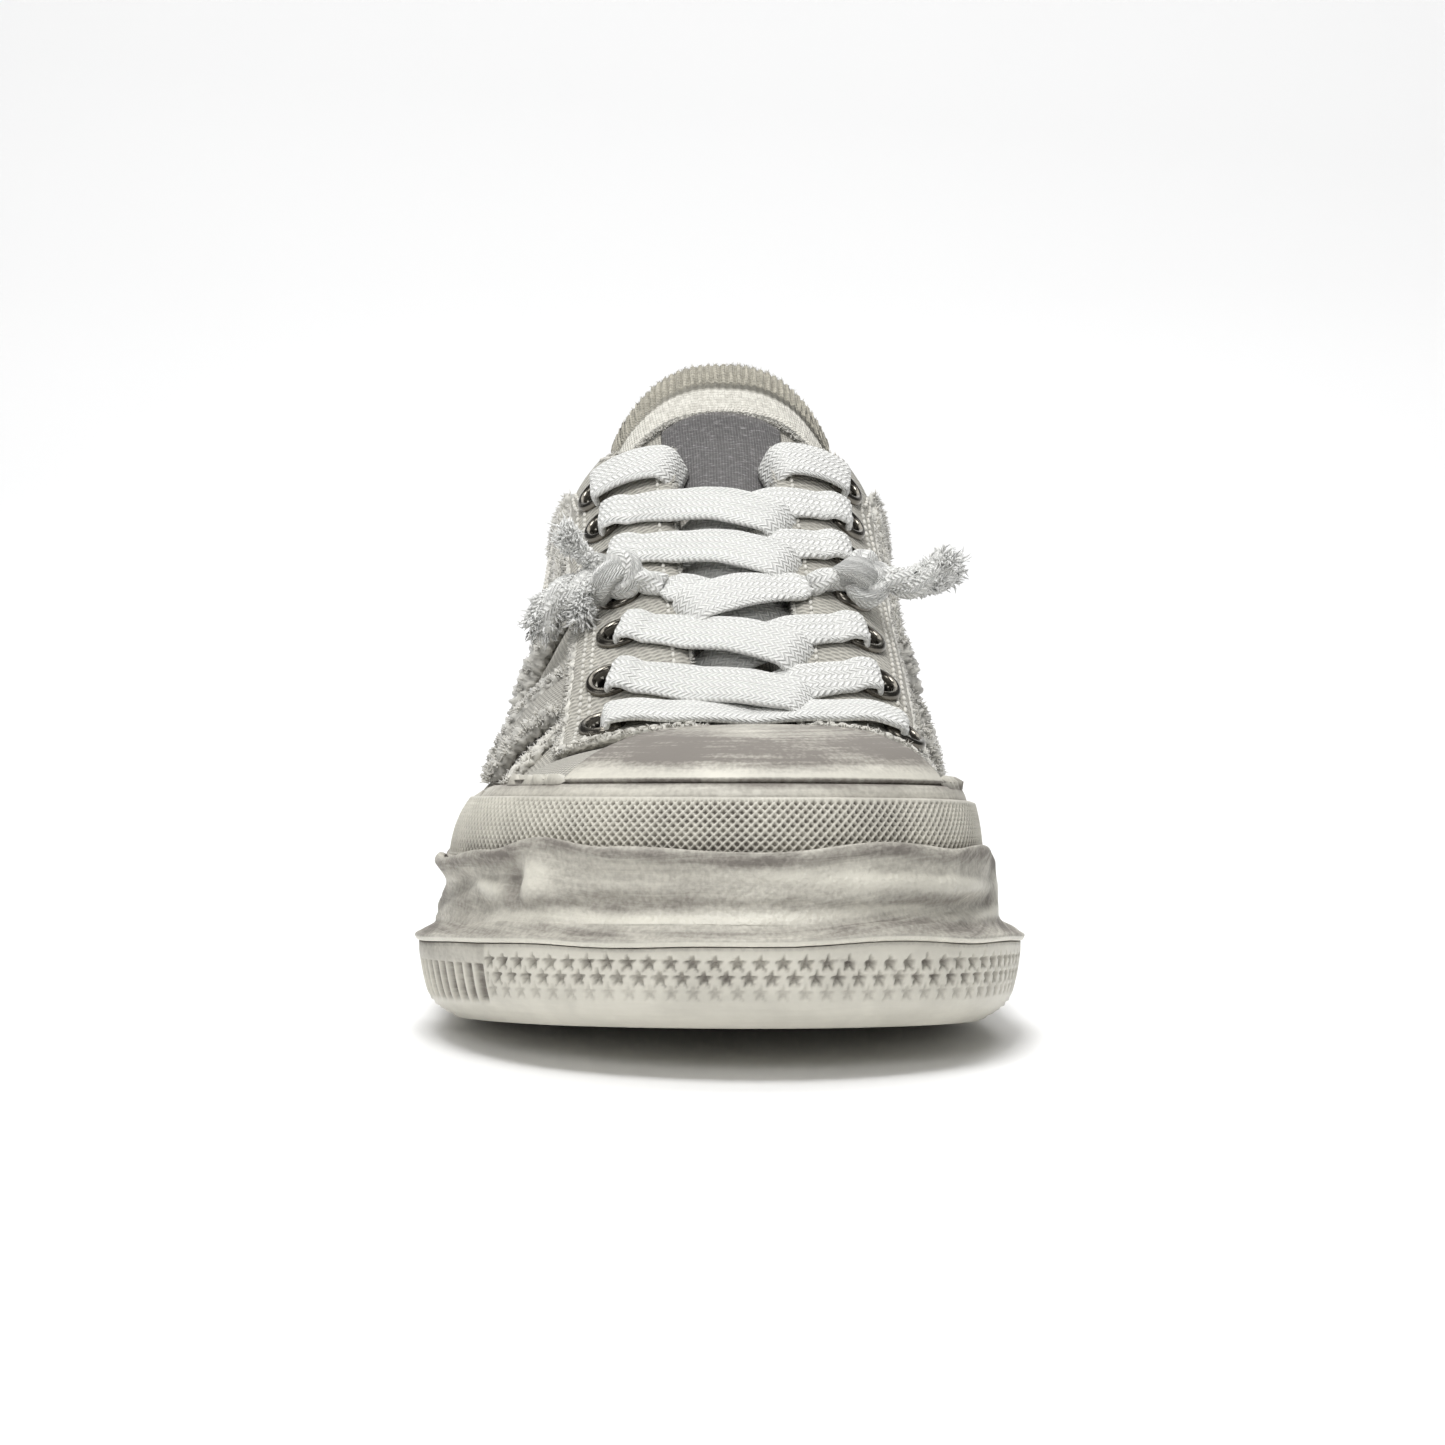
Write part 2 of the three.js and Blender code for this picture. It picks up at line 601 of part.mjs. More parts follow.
function addUpper() {
  const wall = patchGeometry({
    rows: shoeRows,
    low: upperFoot,
    high: rimTurn,
    steps: UPPER_COURSES,
    inside: -WALL,
    outside: 0,
    closed: true,
  });
  addPiece("upper", pierced(wall, eyeletSpots), canvas);
}

// Foxing: plain rubber band round the foot of the upper, with a rib behind the bumper.
const FOXING_COURSES = [
  { level: 0, rib: 0 },
  { level: 0.4, rib: 1 },
  { level: 0.75, rib: 1 },
  { level: 1, rib: 0 },
];
function addFoxing() {
  const grid = (out) =>
    shoeRows.map((row) => {
      const [low, high] = [upperFoot(row), turnAtHeight(row, FOXING_TOP)];
      return FOXING_COURSES.map((c) => offLast(row, low + (high - low) * c.level, out(row, c.rib)));
    });
  const outer = grid((row, rib) => foxingOut + FOXING_LEDGE * rib * (1 - bumperShare(row)));
  addPiece("foxing", wallGeometry(outer, grid(() => GAP), true), dirtyRubber);
}

const BUMPER_FOOT = PLATE_HEIGHT + 0.9;
const BUMPER_GAP = GAP + 0.25; // to the foxing, whose facets differ from the bumper's at its ends
const BUMPER_COURSES = 3;
function addToeBumper() {
  const bumper = patchGeometry({
    rows: rowsBetween(BUMPER_FROM + BUMPER_FADE, BUMPER_TO - BUMPER_FADE),
    low: baseTurn(BUMPER_FOOT),
    high: baseTurn(BUMPER_TOP),
    steps: BUMPER_COURSES,
    inside: foxingOut + BUMPER_GAP,
    outside: (share) => bumperOut - BUMPER_LEAN * share,
  });
  addPiece("toe_bumper", bumper, rubber);
}

// Toe cap: from the foxing up to an arched edge across the toe box.
const CAP_EDGE_AT = 246; // from the heel, at the middle of its edge
const CAP_EDGE_X = 8.5;
const CAP_EDGE_BOW = 0.021; // per millimetre
const CAP_FOOT = FOXING_TOP + 0.6;
const CAP_ROWS = [8, 12.6];
const CAP_REAR = 12; // reach from the spine's end that the uncut form goes up to
const CAP_COURSES = 9;
const EDGE_STEPS = 16; // of the arched edge
const EDGE_STEP = 8;
const CUT_HALF = 90; // half the width of the form that the edge cuts with, and its height
const CUT_HEIGHT = 100;

// Cut from a form over the whole toe box by an arched edge.
function addToeCap() {
  const form = patchGeometry({
    rows: rowsBetween(...CAP_ROWS),
    low: baseTurn(CAP_FOOT),
    high: (row) => turnAtReach(row, CAP_REAR),
    steps: CAP_COURSES,
    inside: GAP,
    outside: GAP + CAP_THICK,
  });
  const edge = Array.from({ length: EDGE_STEPS + 1 }, (_, i) => {
    const away = EDGE_STEP * (i - EDGE_STEPS / 2);
    return new THREE.Vector2(CAP_EDGE_X + away, LENGTH / 2 - CAP_EDGE_AT - CAP_EDGE_BOW * away ** 2);
  });
  const front = [new THREE.Vector2(CUT_HALF, -LENGTH), new THREE.Vector2(-CUT_HALF, -LENGTH)];
  const cutter = new THREE.ExtrudeGeometry(new THREE.Shape([...edge, ...front]), {
    depth: CUT_HEIGHT,
    bevelEnabled: false,
  });
  const cap = solidOf(form).intersect(solidOf(positionsOnly(cutter)));
  addPiece("toe_cap", meshGeometry(cap), dirtyRubber);
}

// Eyestays along the throat, side strips in front of the quarters, and the panel round the heel.
const EYESTAY = [
  { at: 124, reach: 31 },
  { at: 150, reach: 32 },
  { at: 180, reach: 32 },
  { at: 205, reach: 34.5 },
  { at: 230, reach: 38 },
];
const eyestayReach = curveThrough(EYESTAY.map((r) => r.at), EYESTAY.map((r) => r.reach));
const EYESTAY_SIDE = 4.5; // at least this far in from the last's side
const eyestayFoot = (row) =>
  turnAtReach(row, Math.min(eyestayReach(around.at(row)), around.upper(row) - EYESTAY_SIDE));
const EYESTAY_EDGE = 1; // back from the throat's edge
const EYESTAY_GAP = GAP + 0.1; // to the upper, whose facets are longer over the instep
const EYESTAY_COURSES = 6;

// The shoe's rows on one side between two distances from the heel.
function rowsOnSide(from, to, sign) {
  return rowsBetween(...[sideRow(from, sign), sideRow(to, sign)].sort((a, b) => a - b));
}

function addEyestays() {
  const [back, front] = [EYESTAY[0].at, EYESTAY[EYESTAY.length - 1].at];
  for (const { name, sign } of SIDES) {
    const stay = patchGeometry({
      rows: rowsOnSide(front, back, sign),
      low: eyestayFoot,
      high: (row) => rimTurn(row) - EYESTAY_EDGE / section(row).reach,
      steps: EYESTAY_COURSES,
      inside: EYESTAY_GAP,
      outside: GAP + OVERLAY,
    });
    const spots = eyeletSpots.filter((spot) => spot.side === name);
    addPiece(`eyestay_${name}`, pierced(stay, spots), canvas);
  }
}

const STRIP_FROM = 212;
const STRIP_TO = 199;
const STRIP_HEAD = 1.2; // clear of the eyestay, along the section
const OVERLAY_FOOT = FOXING_TOP + 0.8;
const OVERLAY_COURSES = 4;
function addSideStrips() {
  for (const { name, sign } of SIDES) {
    const strip = patchGeometry({
      rows: rowsOnSide(STRIP_FROM, STRIP_TO, sign),
      low: baseTurn(OVERLAY_FOOT),
      high: (row) => eyestayFoot(row) - STRIP_HEAD / section(row).reach,
      steps: OVERLAY_COURSES,
      inside: GAP,
      outside: GAP + OVERLAY,
    });
    addPiece(`side_strip_${name}`, strip, greyCanvas);
  }
}

const PANEL_FRONT = 168;
const PANEL_COLLAR = 5; // below the collar's edge
const PANEL_HEAD = 2; // clear of the eyestay, along the section
const PANEL_STAY = 112; // from the heel, where its top begins to follow the eyestay
function addHeelPanel() {
  const rows = rowsBetween(sideRow(PANEL_FRONT, 1), sideRow(PANEL_FRONT, -1) + ROWS);
  const panel = patchGeometry({
    rows,
    low: baseTurn(OVERLAY_FOOT),
    high: (row) => {
      const collar = rimTurn(row) - PANEL_COLLAR / section(row).rise;
      const front = eyestayFoot(row) - PANEL_HEAD / section(row).reach;
      return around.at(row) > PANEL_STAY ? Math.min(front, collar) : collar;
    },
    steps: OVERLAY_COURSES,
    inside: GAP,
    outside: GAP + OVERLAY,
  });
  addPiece("heel_panel", panel, greyCanvas);
}

// Tongue under the throat, with a rounded top, and the label on it.
const TONGUE_FRONT = 229;
const TONGUE_TOP = 106;
const TONGUE_BOW = 0.0045; // per millimetre, how its top falls away to the sides
const TONGUE_WIDTH = [
  { at: 100, half: 26.5 },
  { at: 125, half: 27 },
  { at: 180, half: 24 },
  { at: 229, half: 21 },
];
const tongueHalf = curveThrough(TONGUE_WIDTH.map((r) => r.at), TONGUE_WIDTH.map((r) => r.half));
// Its outer face lies under the throat's edges and the label, and comes out above the throat.
const TONGUE_DEPTH = [
  { at: 105, out: -2.6 },
  { at: 114, out: -4.2 },
  { at: 127, out: -WALL - 3.3 },
  { at: 229, out: -WALL - 3.3 },
];
const tongueOut = curveThrough(TONGUE_DEPTH.map((r) => r.at), TONGUE_DEPTH.map((r) => r.out));
const LABEL_FRONT = 149;
const LABEL_TOP = 117;
const LABEL_DROP = 3; // of its top at the sides
const LABEL_HALF = 14.2;

// A wall over the instep, from its front up to its top and from side to side.
function instepPatch({ front, top, half, outside, inside, along, across }) {
  const grid = (out) =>
    Array.from({ length: along + 1 }, (_, i) =>
      Array.from({ length: across + 1 }, (_, j) => {
        const share = (2 * j) / across - 1;
        const end = top(share);
        const at = front + ((end - front) * i) / along;
        return instep(at, share * half(at), out(at)).point;
      }),
    );
  return wallGeometry(grid(outside), grid(inside));
}

function addTongue() {
  const bowed = (share) => TONGUE_TOP + TONGUE_BOW * (share * tongueHalf(TONGUE_TOP)) ** 2;
  const tongue = instepPatch({
    front: TONGUE_FRONT,
    top: bowed,
    half: tongueHalf,
    outside: tongueOut,
    inside: (at) => tongueOut(at) - TONGUE_THICK,
    along: 11,
    across: 8,
  });
  addPiece("tongue", tongue, creamCanvas);
  const label = instepPatch({
    front: LABEL_FRONT,
    top: (share) => LABEL_TOP + LABEL_DROP * share * share,
    half: () => LABEL_HALF,
    outside: (at) => tongueOut(at) + GAP + LABEL_THICK,
    inside: (at) => tongueOut(at) + GAP,
    along: 4,
    across: 6,
  });
  addPiece("tongue_label", label, labelCloth);
}

// Insole on the midsole's plate, inside the upper's foot.
const INSOLE_CLEARANCE = 0.8;
const INSOLE_LEAN = 0.5; // of its edge
function addInsole() {
  const profile = (row) => {
    const reach = around.upper(row) - WALL - INSOLE_CLEARANCE;
    const floor = PLATE_HEIGHT + FLAT_GAP;
    return [
      { reach: 0, height: floor },
      { reach, height: floor },
      { reach: reach - INSOLE_LEAN, height: floor + INSOLE_THICK },
      { reach: 0, height: floor + INSOLE_THICK },
    ];
  };
  addPiece("insole", layerGeometry(shoeRows, profile), creamCanvas);
}

// Eyelets: a rolled rim on the eyestay and a barrel through the wall.
const EYELET_SEAT = GAP + OVERLAY + EYELET_CLEARANCE;
const EYELET_OUTLINE = [
  { radius: EYELET_HOLE, height: -WALL + 0.3 },
  { radius: EYELET_HOLE + BARREL, height: EYELET_SEAT },
  { radius: EYELET_RIM, height: EYELET_SEAT },
  { radius: EYELET_RIM - 0.6, height: EYELET_SEAT + 0.9 },
  { radius: EYELET_HOLE, height: EYELET_SEAT + 0.7 },
];
function addEyelets() {
  const closed = [...EYELET_OUTLINE, EYELET_OUTLINE[0]];
  const outline = closed.map(({ radius, height }) => new THREE.Vector2(radius, height));
  for (const spot of eyeletSpots) {
    const ring = new THREE.LatheGeometry(outline, HOLE_SIDES).rotateX(Math.PI / 2);
    const geometry = positionsOnly(onEyelet(ring, spot));
    addPiece(spot.name, geometry, gunmetal);
  }
}

// Lace: a bar at the lowest pair, crossings above it, a loop at each top eyelet.
const LACE_OVER = EYELET_SEAT + 1.5 + LACE_THICK / 2; // clear of the eyelets' rims
const LACE_ON_STAY = GAP + OVERLAY + 0.4 + LACE_THICK / 2; // where it ends at a knot
const LACE_STEPS = 7;
const TUCK_REACH = 6.6;
const TUCK_AT = 6.5; // how far above its pair a crossing comes up
const BAR_AHEAD = 1.5; // towards the toe from its pair
const BAR_HOP = 1.6; // of its middle
const BAR_STEPS = 12;
const KNOT_CLEAR = 8.5; // the crossing stops this far short of a knot

// How high the lace rides over the last as it crosses from the throat to an eyelet, where it lies `over` it.
function crossingLift(over) {
  const rows = [
    { across: -TUCK_REACH, lift: 0 },
    { across: 0, lift: 2.2 },
    { across: 6, lift: over - 0.9 },
    { across: 10.5, lift: over },
    { across: 30, lift: over },
  ];
  return curveThrough(rows.map((r) => r.across), rows.map((r) => r.lift));
}

function crossingPath(lower, upper, { name, sign }, short) {
  const stop = upper[name] - short;
  const lift = crossingLift(short > 0 ? LACE_ON_STAY : LACE_OVER);
  return Array.from({ length: LACE_STEPS + 1 }, (_, i) => {
    const share = i / LACE_STEPS;
    const across = -TUCK_REACH + (stop + TUCK_REACH) * share;
    const rise = (across + TUCK_REACH) / (upper[name] + TUCK_REACH);
    const at = lower.at - TUCK_AT + (upper.at - lower.at + TUCK_AT) * rise;
    return instep(at, sign * across, lift(across));
  });
}

function addLace() {
  const foot = EYELETS[0];
  const bar = Array.from({ length: BAR_STEPS + 1 }, (_, i) => {
    const share = (2 * i) / BAR_STEPS - 1;
    const across = share * (share < 0 ? foot.outer : foot.inner);
    return instep(foot.at + BAR_AHEAD, across, LACE_OVER + BAR_HOP * hump(share));
  });
  addPiece("lace_bar", ribbonGeometry(bar, LACE_WIDTH, LACE_THICK), laceCotton);
  for (let i = 0; i < EYELETS.length - 2; i += 1) {
    const [lower, upper] = [EYELETS[i], EYELETS[i + 1]];
    const short = i + 1 === KNOT_ROW ? KNOT_CLEAR : 0;
    const [outer, inner] = SIDES.map((side) =>
      solidOf(ribbonGeometry(crossingPath(lower, upper, side, short), LACE_WIDTH, LACE_THICK)),
    );
    addPiece(`lace_crossing_${i + 1}`, meshGeometry(outer.add(inner)), laceCotton);
  }
  const top = EYELETS[EYELETS.length - 1];
  for (const { name, sign } of SIDES) {
    const loop = Array.from({ length: LACE_STEPS + 1 }, (_, i) => {
      const across = TUCK_REACH + (top[name] - TUCK_REACH) * (i / LACE_STEPS);
      return instep(top.at, sign * across, crossingLift(LACE_OVER)(across));
    });
    addPiece(`lace_loop_${name}`, ribbonGeometry(loop, LACE_WIDTH, LACE_THICK), laceCotton);
  }
}

// Overhand knots on the fourth pair, and the frayed ends that come out of them.
const KNOT_STAND = LACE_OVER + 2.2;
const KNOT_TURNS = { steps: 24, sides: 4, windings: 2, lobes: 3 };
const END_STEPS = 6;
const END_SIDES = 4; // to each half of its section
// Routes of the ends, in steps of x, y and z from the knots' middles.
const ENDS = {
  outer: [[-5.6, -1.5, -1.2], [-9.5, -3, -3.5], [-12.5, -3.5, -6.5], [-14.5, -3, -10]],
  inner: [[5.4, -1.5, -0.5], [10, -3, -0.8], [14, -4, 0.5], [17.5, -4, 3]],
};

function addKnots() {
  const pair = EYELETS[KNOT_ROW];
  for (const { name, sign } of SIDES) {
    const { point, normal } = instep(pair.at, sign * pair[name], KNOT_STAND);
    const { steps: along, sides, windings, lobes } = KNOT_TURNS;
    const knot = new THREE.TorusKnotGeometry(KNOT_RADIUS, KNOT_TUBE, along, sides, windings, lobes);
    knot.applyQuaternion(uprightOn(normal)).translate(point.x, point.y, point.z);
    addPiece(`lace_knot_${name}`, positionsOnly(knot), laceCotton);
    const route = ENDS[name].map(([x, y, z]) => new THREE.Vector3(x, y, z).add(point));
    const circle = new THREE.Shape().absarc(0, 0, LACE_END / 2, 0, 2 * Math.PI);
    const end = new THREE.ExtrudeGeometry(circle, {
      steps: END_STEPS,
      curveSegments: END_SIDES,
      extrudePath: new THREE.CatmullRomCurve3(route),
    });
    addPiece(`lace_end_${name}`, positionsOnly(end), laceCotton);
  }
}

addOutsole();
addMidsole();
addInsole();
addUpper();
addFoxing();
addToeBumper();
addToeCap();
addEyestays();
addSideStrips();
addHeelPanel();
addTongue();
addEyelets();
addLace();
addKnots();

// Stand the shoe on the floor with the middle of its box over the origin.
const box = new THREE.Box3();
for (const mesh of shoe.children) {
  if (!/^lace_(knot|end|loop)/.test(mesh.name)) box.expandByObject(mesh);
}
const middle = box.getCenter(new THREE.Vector3());
shoe.position.set(-middle.x, -middle.y, -box.min.z);

export default shoe;
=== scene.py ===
"""Dresses a worn low-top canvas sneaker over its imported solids, laid out as an add-on."""

import math

import bmesh
import bpy
import numpy as np
from bpy.props import FloatProperty, FloatVectorProperty, IntProperty, PointerProperty
from mathutils import Matrix, Vector


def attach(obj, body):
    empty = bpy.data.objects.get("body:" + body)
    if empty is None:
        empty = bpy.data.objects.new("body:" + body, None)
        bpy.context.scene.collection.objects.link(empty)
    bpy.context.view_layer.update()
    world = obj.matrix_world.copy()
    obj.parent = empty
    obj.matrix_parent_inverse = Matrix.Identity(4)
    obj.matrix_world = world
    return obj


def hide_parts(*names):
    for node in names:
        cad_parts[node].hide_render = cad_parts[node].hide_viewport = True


bl_info = {
    "name": "Worn Canvas Sneaker",
    "version": (1, 0, 0),
    "blender": (4, 5, 0),
    "location": "View3D > Sidebar > Sneaker",
    "description": "Builds a worn low-top canvas sneaker piece by piece",
    "category": "Add Mesh",
}

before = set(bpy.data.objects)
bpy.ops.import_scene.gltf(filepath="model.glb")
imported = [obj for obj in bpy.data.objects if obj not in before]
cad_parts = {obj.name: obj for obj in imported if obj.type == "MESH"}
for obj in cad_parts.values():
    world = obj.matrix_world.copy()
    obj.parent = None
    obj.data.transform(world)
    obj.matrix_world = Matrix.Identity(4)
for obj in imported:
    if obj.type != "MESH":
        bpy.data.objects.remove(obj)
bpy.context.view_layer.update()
BODY = "root"
MM = 0.001

# The shoe's own frame: millimetres, distances from the heel along the spine, heights over the floor.
MIDDLE = np.array([-0.211, 0.347, 0.0])  # of the shoe's box, which stands over the origin
LENGTH = 306.0
TOE_SPRING = 10.0
SPRING_START = 200.0
SPRING_STRAIGHT = 232.0
ARCH_RISE = 2.5
ARCH_MIDDLE = 118.0
ARCH_HALF_LENGTH = 42.0
OUTSOLE_HEIGHT = 15.0
PLATE_HEIGHT = 31.0
WALL = 2.2
GAP = 0.55
FLAT_GAP = 0.3
OVERLAY = 1.4
FOXING_TOP = 43.5
FOXING_OUT = 2.45
FOXING_LEDGE = 1.9
BUMPER_TOP = 41.0
BUMPER_OUT = 4.8
BUMPER_FROM = 6.45
BUMPER_TO = 14.2
BUMPER_FADE = 0.12
HEEL_TAB_RISE = 9.0
HEEL_AT = 47.0
BALL_AT = 232.0
FRONT_AT = 188.0  # where the finer rows of the front begin

# Rows round the shoe from the back of the heel: place on the spine, heading, reaches, squareness.
AROUND = (
    # at, heading, sole, upper, square
    (47, -180, 47, 38.5, 2.6),
    (47, -135, 47, 38.5, 2.6),
    (47, -90, 46.5, 38, 2.6),
    (90, -90, 46, 38, 2.6),
    (130, -90, 48.5, 40.5, 2.7),
    (170, -90, 55, 45, 2.4),
    (205, -90, 61.5, 51, 2.5),
    (232, -90, 65, 54, 2.4),
    (232, -60, 68, 56.3, 2.5),
    (232, -30, 72, 59.5, 2.7),
    (232, 0, 73.7, 61, 2.8),
    (232, 30, 69, 56, 2.9),
    (232, 60, 57, 44, 3.2),
    (232, 90, 49, 35.8, 3.4),
    (205, 90, 48.5, 36.5, 3.3),
    (170, 90, 46, 37, 3.0),
    (130, 90, 45, 37.5, 3.1),
    (90, 90, 45.5, 37.5, 2.6),
    (47, 90, 46.5, 38, 2.6),
    (47, 135, 47, 38.5, 2.6),
)
ROWS = len(AROUND)

# Along the spine: sideways swing, height of the ridge, height of the collar, half width of the throat.
SPINE = (
    # at, swing, ridge, collar, throat
    (47, 0, 150, 96, 0.01),
    (90, 0, 140, 90, 0.01),
    (105, 0, 130, 96, 3),
    (118, 0, 119, 107, 8),
    (135, 0.4, 108.5, 108.5, 9.5),
    (157, 1.6, 96, 156, 10),
    (180, 3.2, 83, 190, 10.3),
    (205, 5, 69, 200, 10),
    (222, 6.3, 58, 200, 9),
    (232, 7, 54.5, 200, 8.5),
)

# Folds of the melted midsole: how far the lip rises, the wall swells and the flange lifts.
FOLDS = (
    # row, width, lip, swell, flange
    (0.2, 0.9, 1.6, 1.2, 0.9),
    (1.4, 0.7, -1.2, -0.9, -0.4),
    (2.5, 0.8, 1.8, 1.4, 1.1),
    (3.4, 0.7, -1, -1.1, -0.3),
    (4.3, 0.8, 1.5, 1.3, 1),
    (5.2, 0.6, -1.3, -1, -0.4),
    (6.1, 0.5, 0.6, 0.8, 0.4),
    (6.8, 0.5, -2.2, -1.2, -0.4),
    (7.6, 0.6, -1.7, 0.4, -0.3),
    (8.75, 0.45, 2.4, 1.2, 0.2),
    (9.3, 0.5, 0.7, -0.4, -0.4),
    (10, 0.5, -0.4, 0.5, -0.1),
    (10.7, 0.6, 1.5, 0.9, 0.9),
    (11.6, 0.5, 0.9, -0.5, 0.2),
    (12.3, 0.5, -1.7, -1.3, -0.2),
    (13.2, 0.6, 1, 1.1, -0.4),
    (14.3, 0.7, -1.1, -0.8, 0.8),
    (15.5, 0.8, 1.7, 1.3, -0.3),
    (16.6, 0.7, -1.1, -1, 0.9),
    (17.7, 0.7, 1.6, 1.2, 0.3),
    (18.9, 0.8, -1.2, -0.8, -0.2),
)
LIP, SWELL, FLANGE = 2, 3, 4

# Soft creases on the midsole's wall: row and height of the middle, half sizes, slant, and how far out.
CREASES = (
    # row, height, long, tall, slant, out
    (9.6, 22.5, 2.2, 2.6, 0.0, -0.9),
    (9.4, 18.8, 1.9, 1.6, 0.4, 0.7),
    (10.9, 26.5, 1.1, 2.0, -1.5, 0.8),
    (11.3, 22.0, 1.0, 2.2, 2.0, -0.9),
    (8.72, 27.5, 0.12, 4.0, 0.0, 0.9),
    (8.55, 26.0, 0.1, 4.5, 0.0, -1.1),
    (8.3, 25.0, 0.35, 2.5, -3.0, 0.8),
    (7.7, 24.0, 0.5, 2.2, 4.0, -0.8),
    (7.2, 21.5, 0.4, 2.0, -2.0, 0.7),
    (12.1, 24.5, 0.25, 4.0, 3.0, 0.8),
    (12.5, 23.0, 0.22, 4.0, -3.0, -1.0),
    (12.9, 26.0, 0.25, 3.5, 2.0, 0.7),
    (13.6, 22.0, 0.6, 2.2, -2.0, -0.7),
    (5.6, 23.0, 0.9, 2.4, 1.0, -0.8),
    (4.7, 26.0, 0.5, 3.0, -2.0, 0.8),
    (3.2, 22.5, 1.0, 2.4, 1.0, -0.8),
    (1.9, 25.5, 0.6, 3.0, -2.0, 0.8),
    (0.6, 22.0, 1.1, 2.4, 1.0, -0.8),
    (19.2, 25.5, 0.6, 3.0, 2.0, 0.8),
    (17.9, 22.5, 1.0, 2.4, -1.0, -0.8),
    (16.2, 25.5, 0.7, 3.0, 2.0, 0.8),
    (15.0, 22.5, 1.0, 2.4, -1.0, -0.8),
)

# Creases of the upper's cloth: row and share of the wall's height, half sizes, slant, and how far out.
WRINKLES = (
    # row, share, long, tall, slant, out
    (6.2, 0.50, 0.10, 0.30, 0.25, -0.9),
    (6.0, 0.50, 0.10, 0.30, 0.30, 0.8),
    (5.75, 0.45, 0.10, 0.30, 0.20, -0.8),
    (5.3, 0.50, 0.16, 0.30, -0.20, 0.8),
    (4.9, 0.45, 0.14, 0.35, 0.20, -0.9),
    (7.6, 0.45, 0.30, 0.10, 0.10, -0.7),
    (7.9, 0.62, 0.35, 0.08, -0.10, 0.5),
    (13.4, 0.45, 0.30, 0.12, 0.10, -0.6),
    (14.0, 0.50, 0.12, 0.30, -0.25, -0.8),
    (14.4, 0.50, 0.12, 0.30, -0.30, 0.8),
    (15.0, 0.45, 0.14, 0.30, 0.20, -0.8),
    (3.4, 0.60, 0.30, 0.20, 0.20, -0.9),
    (2.6, 0.65, 0.25, 0.18, -0.20, 0.7),
    (17.2, 0.60, 0.30, 0.20, -0.20, -0.9),
    (18.0, 0.65, 0.25, 0.18, 0.20, 0.7),
    (0.6, 0.70, 0.40, 0.14, 0.10, -0.6),
    (19.4, 0.70, 0.40, 0.14, -0.10, -0.6),
)

# Pairs of eyelets: distance from the heel, reach on the outer and on the inner side.
EYELETS = (
    # at, outer, inner
    (223, 28.9, 28.5),
    (209, 26.8, 25.2),
    (194.5, 24, 23.8),
    (180, 22.8, 22.6),
    (165.5, 23.8, 23),
    (151, 24.6, 24),
    (137, 25.6, 24.6),
)
KNOT_ROW = 3
SIDES = (("outer", -1), ("inner", 1))
OVERLAY_OUT = GAP + OVERLAY  # outer face of the overlays, over the last
HOLE_CUT = 2.9  # radius of the holes cut for the eyelets
HOLE_NEAR = 8.0
LACE_ON_STAY = 3.1
LACE_LOW = 3.1
LACE_OVER_RIM = 4.5
LACE_NECK = 4.4  # width of the lace where it goes into an eyelet
NECK_REACH = 4.5
LACE_TAIL = 0.9  # how far a run goes on past the middle of its eyelet
TUCK_REACH = 6.6
TUCK_AT = 3.0
KNOT_CLEAR = 8.5
KNOT_STAND = 7.0
# Routes of the two free ends from the knots' middles.
END_ROUTES = {
    "outer": ((-5.6, -1.5, -1.2), (-9.5, -3, -3.5), (-12.5, -3.5, -6.5), (-14.5, -3, -10)),
    "inner": ((5.4, -1.5, -0.5), (10, -3, -0.8), (14, -4, 0.5), (17.5, -4, 3)),
}
# Frayed strands that stand out of the outer knot beside its end.
LOOSE_STRANDS = {
    "outer": (
        ((-2, -3, 0), (-5, -4.5, -2), (-6, -5, -5), (-6, -5, -8.5)),
        ((-2, -1, 1), (-5, -1.5, 4), (-8, -2, 6.5), (-9.5, -2.5, 9)),
    ),
    "inner": (),
}


# Sizes and colours that a user would change.
class SneakerRubber(bpy.types.PropertyGroup):
    """Sizes and colours of the sole, the bands and the toe cap."""

    cream: FloatVectorProperty(
        name="Cream rubber",
        description="Colour of the clean rubber",
        default=(0.74, 0.715, 0.625),
        subtype="COLOR",
    )
    # Colour that each piece's mark blends in: rubbed-in dirt and painted shade.
    dirt: FloatVectorProperty(
        name="Dirt",
        description="Colour of the rubbed-in dirt",
        default=(0.16, 0.142, 0.126),
        subtype="COLOR",
    )
    star_pitch: FloatProperty(
        name="Star pitch",
        description="Distance between the star-shaped pits of the outsole's wall",
        default=0.0041,
        unit="LENGTH",
    )
    star_radius: FloatProperty(
        name="Star radius",
        description="Reach of a star-shaped pit's points",
        default=0.0021,
        unit="LENGTH",
    )
    star_depth: FloatProperty(
        name="Star depth",
        description="Depth of a star-shaped pit",
        default=0.0013,
        unit="LENGTH",
    )
    rib_pitch: FloatProperty(
        name="Rib pitch",
        description="Distance between the upright ribs beside the ball",
        default=0.0040,
        unit="LENGTH",
    )
    knurl_pitch: FloatProperty(
        name="Knurl pitch",
        description="Width of a diamond on the toe bumper",
        default=0.0017,
        unit="LENGTH",
    )
    knurl_depth: FloatProperty(
        name="Knurl depth",
        description="Depth between the diamond ridges",
        default=0.0008,
        unit="LENGTH",
    )


